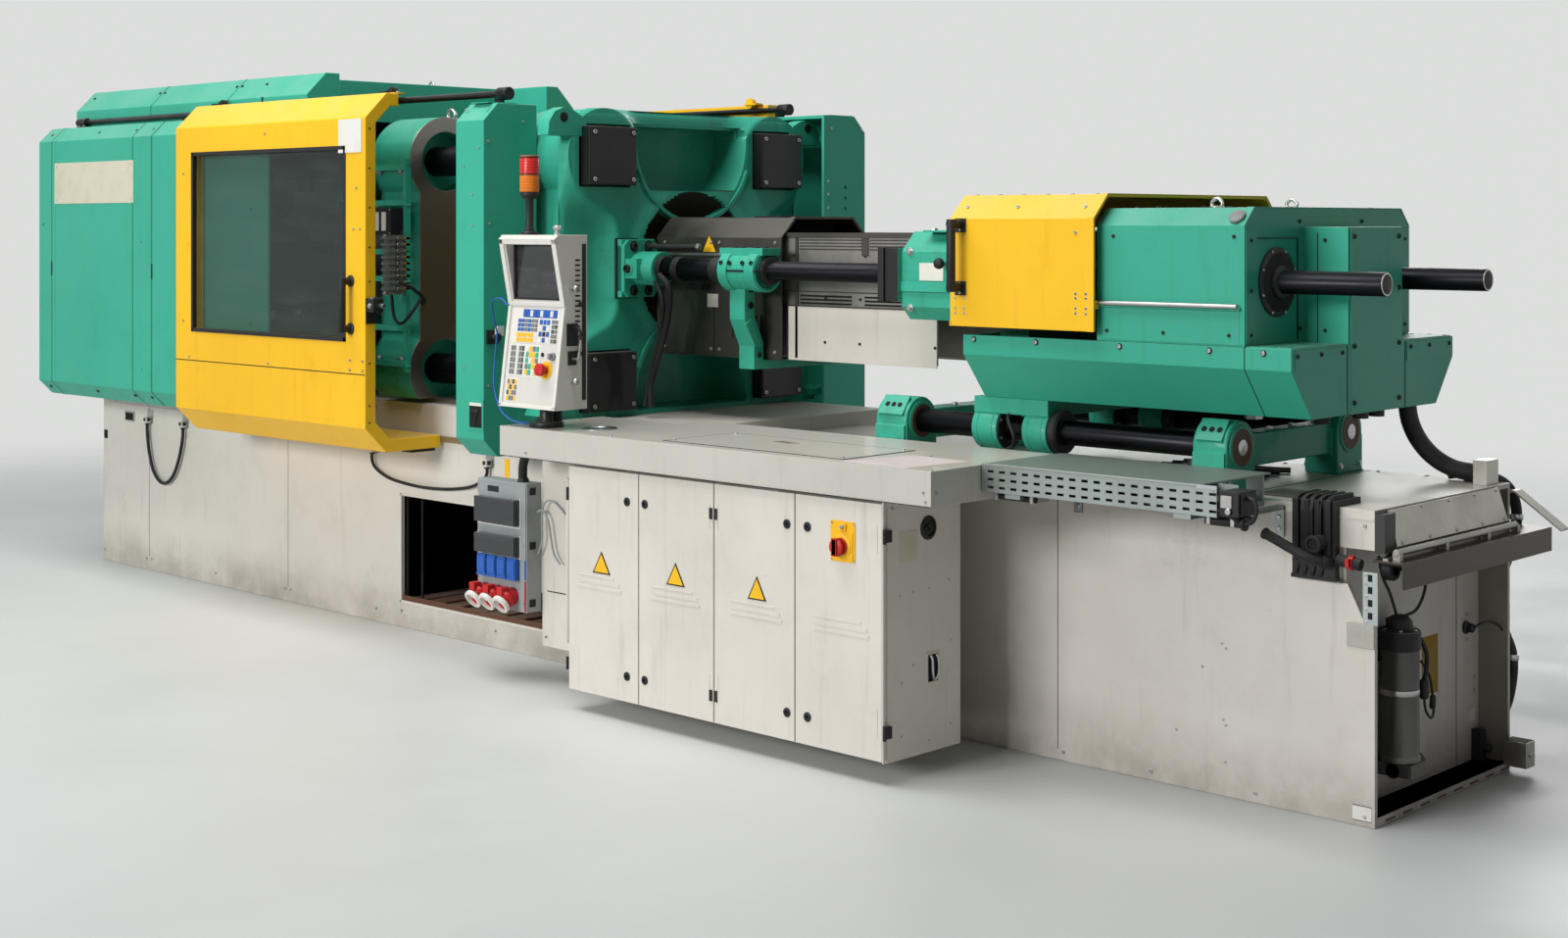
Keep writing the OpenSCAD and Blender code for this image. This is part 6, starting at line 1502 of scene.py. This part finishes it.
INJECTION_Y = -385
rear_base = Piece("injection_base_trim", "root", "white_paint", "recess_shade_and_seams", "ground_steel",
                  "black_plastic", bevel=0.6)
rear_base.box((2169, -385.8, 30), (2171, -384.4, 784), 1)
rear_base.box((2170, -386.6, 764), (3134, -384.6, 770), 0)
for x, z in ((2700, 400), (2712, 388), (2640, 330), (2704, 200), (2712, 186), (2560, 150), (2710, 90)):
    rear_base.screw((x, INJECTION_Y, z), FRONT, 3.6, 2)
rear_base.grid("screw", (2190, 2480, 2800, 3110), INJECTION_Y, (24, 750), FRONT, 5, 2)
rear_base.mirror(-1)
for x in (800, 1380, 1960, 2540):
    rear_base.box((x, -388, 90), (x + 540, -384, 700), 0)
    rear_base.row(9, (0, 0, -20), (x + 80, -389.4, 610), (x + 460, -387, 619), 1)
    rear_base.each("screw", [(x + dx, -388, z) for dx in (20, 520) for z in (110, 680)], FRONT, 5, 2)
    rear_base.grid("cap", x + 506, -388, (240, 540), FRONT, 14, 3, 11, 5, 3, 20)
for x in (1200, 1300):
    rear_base.rod((x, INJECTION_Y, 60), (x, -420, 60), 22, 3, 20)
    rear_base.cap((x, -420, 60), FRONT, 28, 14, 22, 18, 2, 6)
rear_base.done()

# Socket box: frames, bare plate, rings of the sockets, lids, clips, conduit to the table
sockets = Piece("socket_trim", "root", "socket_box", "blue_plastic", "signal_red", "black_plastic",
                "light_plastic", "hose_rubber", "ground_steel", slot="grey_paint", bevel=0.8)
BOX_Y = -812
sockets.box((98.5, BOX_Y - 1, 236), (102, BOX_Y + 1, 650), 0)
sockets.box((346, BOX_Y - 3, 236), (352, BOX_Y + 1, 650), 0)
sockets.box((100, BOX_Y - 0.8, 644), (352, BOX_Y + 1, 650), 0)
for z0, z1 in ((508, 604), (407, 482)):
    sockets.box((103, BOX_Y - 3, z0), (107, BOX_Y, z1), 4).box((321, BOX_Y - 3, z0), (325, BOX_Y, z1), 4)
    sockets.box((103, BOX_Y - 3, z0 - 4), (325, BOX_Y, z0), 4)
for x in range(119, 327, 52):
    sockets.box((x - 2, BOX_Y - 22, 336), (x + 46, BOX_Y - 4, 342), 1)
    sockets.box((x + 3, BOX_Y - 23, 350), (x + 41, BOX_Y - 19.4, 398), 1)
    sockets.rod((x, BOX_Y - 16, 404), (x + 44, BOX_Y - 16, 404), 4.5, 1, 12)
for x in range(142, 358, 72):
    tilt = Vector((0, -0.82, -0.57))
    sockets.lathe((x, -830, 284), tilt, [(29, 6), (32, 9), (32, 19), (29, 22)], 2, 28)
    sockets.lathe((x, -830, 284), tilt, [(31, 34), (33, 36), (33, 48), (28, 50), (24, 50), (23, 36)], 4, 28)
    sockets.box((x - 13, -872, 290), (x + 13, -840, 316), 2)
for z in (262, 450, 628):
    sockets.box((350, -800, z - 12), (358, -776, z + 12), 5).screw((342, BOX_Y, z), FRONT, 4, 6)
sockets.grid("screw", 355, (-800, -764), (246, 640), RIGHT, 4, 6)
sockets.pipe([(300, -782, 652), (300, -784, 676), (310, -790, 712), (334, -800, 742),
              (352, -806, 764)], 15, 5, 18)
sockets.cap((300, -782, 652), UP, 21, 10, 17, 16, 3, 6)
sockets.pipe([(358, -772, 560), (392, -772, 566), (414, -770, 530), (424, -768, 480), (440, -768, 430),
              (470, -768, 400)], 3.5, 0)
sockets.pipe([(480, -752, 560), (430, -764, 600), (394, -770, 590), (380, -770, 540), (382, -770, 470),
              (360, -770, 420)], 3.0, 0)
sockets.done()

# Cabinet doors: locks, raised strips, bare yellow plates, gasket lines
DOOR_Y, DOOR_WIDE, DOORS_X = -940, 321.5, 714
LOCKS = (985, 1064, 1649, 1727)
STRIPS = ((760, 959), (1090, 1299), (1424, 1630), (1753, 1954))
PLATES = ((829, 910, 437), (1158, 1237, 440), (1495, 1569, 440))
for k in range(4):
    name = f"cabinet_door_{k + 1}"
    leaf = Piece(f"{name}_trim", name, "white_paint", "black_plastic", "recess_shade_and_seams", "yellow_plate",
                 "ground_steel", bevel=0.5)
    x0 = DOORS_X + k * DOOR_WIDE
    a, b = STRIPS[k]
    leaf.box((a, DOOR_Y - 2.2, 388), (b, DOOR_Y + 1, 396), 0)
    leaf.box((a + 6, DOOR_Y - 1.6, 404), (b - 8, DOOR_Y + 1, 415), 0)
    leaf.box((a, DOOR_Y - 1.8, 424), (b - 30, DOOR_Y + 1, 429), 0)
    for z in (142, 667):
        leaf.lathe((LOCKS[k], DOOR_Y, z), FRONT, [(13.5, 0), (13.5, 2.2), (11.5, 3.6), (6, 3.6),
                                                  (5.4, 1)], 1, 28)
        leaf.box((LOCKS[k] - 2, DOOR_Y - 3.8, z - 5), (LOCKS[k] + 2, DOOR_Y - 1, z + 5), 2)
        leaf.box((LOCKS[k] - 11, DOOR_Y + 20, z - 16), (LOCKS[k] + 11, DOOR_Y + 26, z + 16), 4)
    hinge_at_low_x = k in (0, 2)
    if k in (1, 2):
        leaf_x = x0 + 5 if hinge_at_low_x else x0 + DOOR_WIDE - 16
        for z in (142, 667):
            leaf.box((leaf_x, DOOR_Y - 4, z - 16), (leaf_x + 11, DOOR_Y + 1, z + 16), 1)
    edge = x0 + 16 if hinge_at_low_x else x0 + DOOR_WIDE - 20
    for z in (130, 620):
        leaf.box((edge, DOOR_Y - 1.2, z), (edge + 3, DOOR_Y + 1, z + 74), 0)
    if k < 3:
        p0, p1, low = PLATES[k]
        middle = (p0 + p1) / 2
        leaf.prism([(p0, low), (p1, low), (middle, low + 68)], "y", DOOR_Y - 1.6, DOOR_Y + 1, 2)
        leaf.prism([(p0 + 7, low + 4), (p1 - 7, low + 4), (middle, low + 60)], "y", DOOR_Y - 2.2, DOOR_Y, 3)
    else:
        leaf.box((1815, DOOR_Y - 2.4, 585), (1904, DOOR_Y + 1, 696), 3)
        leaf.box((1822, DOOR_Y - 5, 592), (1897, DOOR_Y, 668), 3)
        leaf.cap((1858, DOOR_Y - 4, 628), FRONT, 34, 3, 30, 5, 3, 36)
        leaf.box((1852, DOOR_Y - 8, 672), (1874, DOOR_Y - 1, 690), 3)
        leaf.rod((1863, DOOR_Y - 7, 681), (1863, DOOR_Y - 14, 681), 6, 4, 14)
        leaf.grid("screw", (1821, 1898), DOOR_Y - 2.4, (591, 690), FRONT, 3, 4)
    leaf.done()

switch = Piece("main_switch_trim", "main_switch", "signal_red", bevel=1.2)
switch.box((1850, -978, 606), (1866, -966, 650), 0)
switch.lathe((1858, -966, 628), FRONT, [(22, -2), (24, 0), (24, 4), (20, 7)], 0, 32)
switch.done()

# Cabinet body: hinges, side handle, bare plate, rivets, seams
CABINET_END = 2000
cabinet = Piece("cabinet_trim", "root", "white_paint", "black_plastic", "recess_shade_and_seams", "ground_steel",
                "cream_label", bevel=0.6)
for x, way in ((DOORS_X, -1), (CABINET_END, 1)):
    low_x, high_x = sorted((x, x + way * 9))
    for z in (142, 667):
        cabinet.box((low_x, DOOR_Y + 4, z - 16), (high_x, DOOR_Y + 30, z + 16), 1)
        cabinet.rod((x + way * 6, DOOR_Y + 2, z - 20), (x + way * 6, DOOR_Y + 2, z + 20), 5, 1, 14)
# Painted shade: the near-black recess behind the side handle
cabinet.box((1999, -760, 244), (2003, -700, 330), 0).box((CABINET_END, -752, 250), (2004, -710, 324), 2)
cabinet.pipe([(2003, -743, 322), (2010, -743, 312), (2012, -743, 280), (2010, -738, 262), (2006, -730, 254),
              (2010, -722, 262), (2012, -718, 280), (2010, -718, 312), (2003, -718, 322)], 4, 3)
cabinet.box((1999, -871, 590), (2001.2, -795, 672), 4)
for y, z in ((-869, 500), (-812, 504), (-745, 506), (-661, 520), (-861, 264), (-812, 306), (-652, 352),
             (-861, 120), (-652, 120), (-745, 90)):
    cabinet.cap((CABINET_END, y, z), RIGHT, 4, 1, 2.6, 1.8, 3, 12)
cabinet.lathe((CABINET_END, -749, 672), RIGHT, [(33, 0), (33, 3), (30, 5), (24, 5), (23, 1)], 1, 32)
cabinet.pipe([(2001, -762, 672), (2006, -752, 680), (2006, -742, 668), (2001, -736, 672)], 4, 1)
cabinet.box((1998, -938, 60), (2001.2, -932, 760), 0).box((1998, -618, 60), (2001.2, -612, 760), 0)
cabinet.each("screw", [(CABINET_END, y, z) for y, z in ((-900, 740), (-660, 740))], RIGHT, 5, 3)
cabinet.grid("lathe", 664, -898, (210, 690), BACK, [(15, 30), (15, 34), (13, 38)], 3, 20)
cabinet.box((712, -900, 120), (715.5, -760, 124), 2)
cabinet.each("screw", [(x, -750, z) for x, z in ((380, 150), (380, 740), (700, 150),
                                                 (700, 740))], FRONT, 5, 3)
cabinet.box((386, -751.6, 300), (640, -749.6, 303), 2)
cabinet.done()

# Table: worn plate with its dark outline, edge lip, seams and screws
table = Piece("table_trim", "root", "table_top", "recess_shade_and_seams", "ground_steel", "rusty_brown", "pink_sheet",
              slot="white_paint", bevel=0.3)
plate = [Vector((1104, -900)), Vector((1104, -600)), Vector((1826, -600)), Vector((1826, -900))]
for p, q in zip(plate, plate[1:] + plate[:1]):
    lo = (min(p.x, q.x) - 4, min(p.y, q.y) - 4, TABLE_Z - 0.5)
    hi = (max(p.x, q.x) + 4, max(p.y, q.y) + 4, TABLE_Z + 0.9)
    table.box(lo, hi, 1)
table.box((1108, -896, TABLE_Z - 0.5), (1822, -604, TABLE_Z + 1.4), 0)
table.grid("screw", (1128, 1802), (-880, -620), TABLE_Z + 1, UP, 6, 2)
table.prism([(1360, -700), (1440, -716), (1462, -690), (1380, -674)], "z", TABLE_Z + 1, TABLE_Z + 1.8, 3)
table.prism([(1850, -930), (2080, -934), (2110, -700), (1900, -690)], "z", TABLE_Z - 0.5, TABLE_Z + 0.8, 4)
table.each("screw", [(x, y, TABLE_Z) for x, y in ((1950, -680), (2160, -930), (2160, -700), (420, -930),
                                                  (420, -640), (900, -930))], UP, 5, 2)
table.each("screw", [(x, -950, z) for x, z in ((2150, 800), (2158, 776), (520, 780))], FRONT, 4, 2)
table.grid("screw", 2176, (-930, -660), 800, RIGHT, 5, 2)
table.box((388, -952, 762), (2176, -949.4, 764), 1)
table.lathe((700, -800, TABLE_Z - 2), UP, [(57, 0), (57, 4), (54, 6), (44, 6), (42, 3)], 2, 40)
table.done()

# Panel: lever at its right side, stop ring, key ring, cable from its foot
extras = Piece("panel_extras", "panel", "ground_steel", "black_plastic", "yellow_paint", bevel=0.8)
extras.at(KEY_ORIGIN, y=KEY_UP, z=KEY_OUT)
extras.lathe((75, 124, 1), UP, [(29, 0), (29, 1.2), (27, 2), (22, 2)], 2, 32)
extras.at()
for x in (402, 648):
    extras.box((x - 3, -951, 925), (x + 3, -945, 932), 0)
extras.rod((664, -858, 1096), (672, -858, 1096), 11, 1, 20)
extras.rod((670, -858, 1096), (676, -856, 1150), 4.5, 0, 12)
extras.cap((664, -848, 1250), RIGHT, 9, 5, 6, 8, 1, 18)
extras.box((663, -842, 948), (666, -826, 1440), 1)
extras.row(17, (0, 0, 16), (663.4, -870, 1130), (665, -850, 1136), 1)
extras.box((412, -822, 960), (416, -816, 1440), 1).rod((524, -830, 862), (524, -830, 918), 19, 1, 24)
extras.done()


# Floor, light and surroundings
floor_mesh = bpy.data.meshes.new("floor")
floor_mesh.from_pydata([(-60, -60, -0.001), (60, -60, -0.001), (60, 60, -0.001), (-60, 60, -0.001)],
                       [], [(0, 1, 2, 3)])
floor = bpy.data.objects.new("floor", floor_mesh)
scene.collection.objects.link(floor)
floor_look = Material("floor", (208, 210, 209), roughness=0.42)
floor_look.tint(floor_look.ramp(floor_look.noise(0.6, 6, 0.7, seed=60), 0.35, 0.7, 0.0, 0.25),
                (190, 192, 193))
floor_look.rough(floor_look.ramp(floor_look.noise(1.5, 6, seed=61), 0.35, 0.7), 0.6)
floor_mesh.materials.append(floor_look.done())

# The floor fades into the backdrop away from the machine
spread = floor_look.add("ShaderNodeVectorMath", operation="LENGTH")
floor_look.link(floor_look.place, spread.inputs[0])
clear = floor_look.add("ShaderNodeBsdfTransparent")
fade = floor_look.add("ShaderNodeMixShader")
floor_look.link(floor_look.ramp(spread.outputs["Value"], 4.2, 8.5), fade.inputs[0])
floor_look.link(floor_look.shader.outputs[0], fade.inputs[1])
floor_look.link(clear.outputs[0], fade.inputs[2])
floor_end = next(n for n in floor_look.tree.nodes if n.type == "OUTPUT_MATERIAL")
floor_look.link(fade.outputs[0], floor_end.inputs[0])

world = bpy.data.worlds.new("studio")
world.use_nodes = True
sky = world.node_tree
ambient = sky.nodes["Background"]
ambient.inputs["Color"].default_value = (0.90, 0.93, 0.95, 1)
ambient.inputs["Strength"].default_value = 0.09
backdrop = sky.nodes.new("ShaderNodeBackground")
backdrop.inputs["Color"].default_value = (0.72, 0.73, 0.72, 1)


def larger(a, b):
    node = sky.nodes.new("ShaderNodeMath")
    node.operation = "MAXIMUM"
    sky.links.new(a, node.inputs[0])
    sky.links.new(b, node.inputs[1])
    return node.outputs[0]


# The backdrop shows to the camera, in reflections and through panes; the ambient lights the rest
ray = sky.nodes.new("ShaderNodeLightPath").outputs
shown = larger(larger(ray["Is Camera Ray"], ray["Is Glossy Ray"]), ray["Is Transmission Ray"])
either = sky.nodes.new("ShaderNodeMixShader")
for value, socket in zip((shown, ambient.outputs[0], backdrop.outputs[0]), either.inputs):
    sky.links.new(value, socket)
sky.links.new(either.outputs[0], sky.nodes["World Output"].inputs["Surface"])
scene.world = world


def softbox(name, at, aim, size, power):
    data = bpy.data.lights.new(name, "AREA")
    data.shape = "RECTANGLE"
    data.size, data.size_y = size
    data.energy = power
    light = bpy.data.objects.new(name, data)
    light.location = at
    light.rotation_euler = (Vector(aim) - Vector(at)).to_track_quat("-Z", "Y").to_euler()
    scene.collection.objects.link(light)


softbox("overhead", (-0.2, -2.4, 6.4), (0.0, 0.0, 0.9), (6.5, 3.2), 390)
softbox("front", (-0.2, -14.0, 4.6), (0.8, 0.0, 0.8), (6.0, 3.0), 1120)
softbox("back", (-2.5, 11.0, 5.0), (0.0, 0.0, 0.9), (7.0, 3.0), 380)

scene.view_settings.view_transform = "Standard"
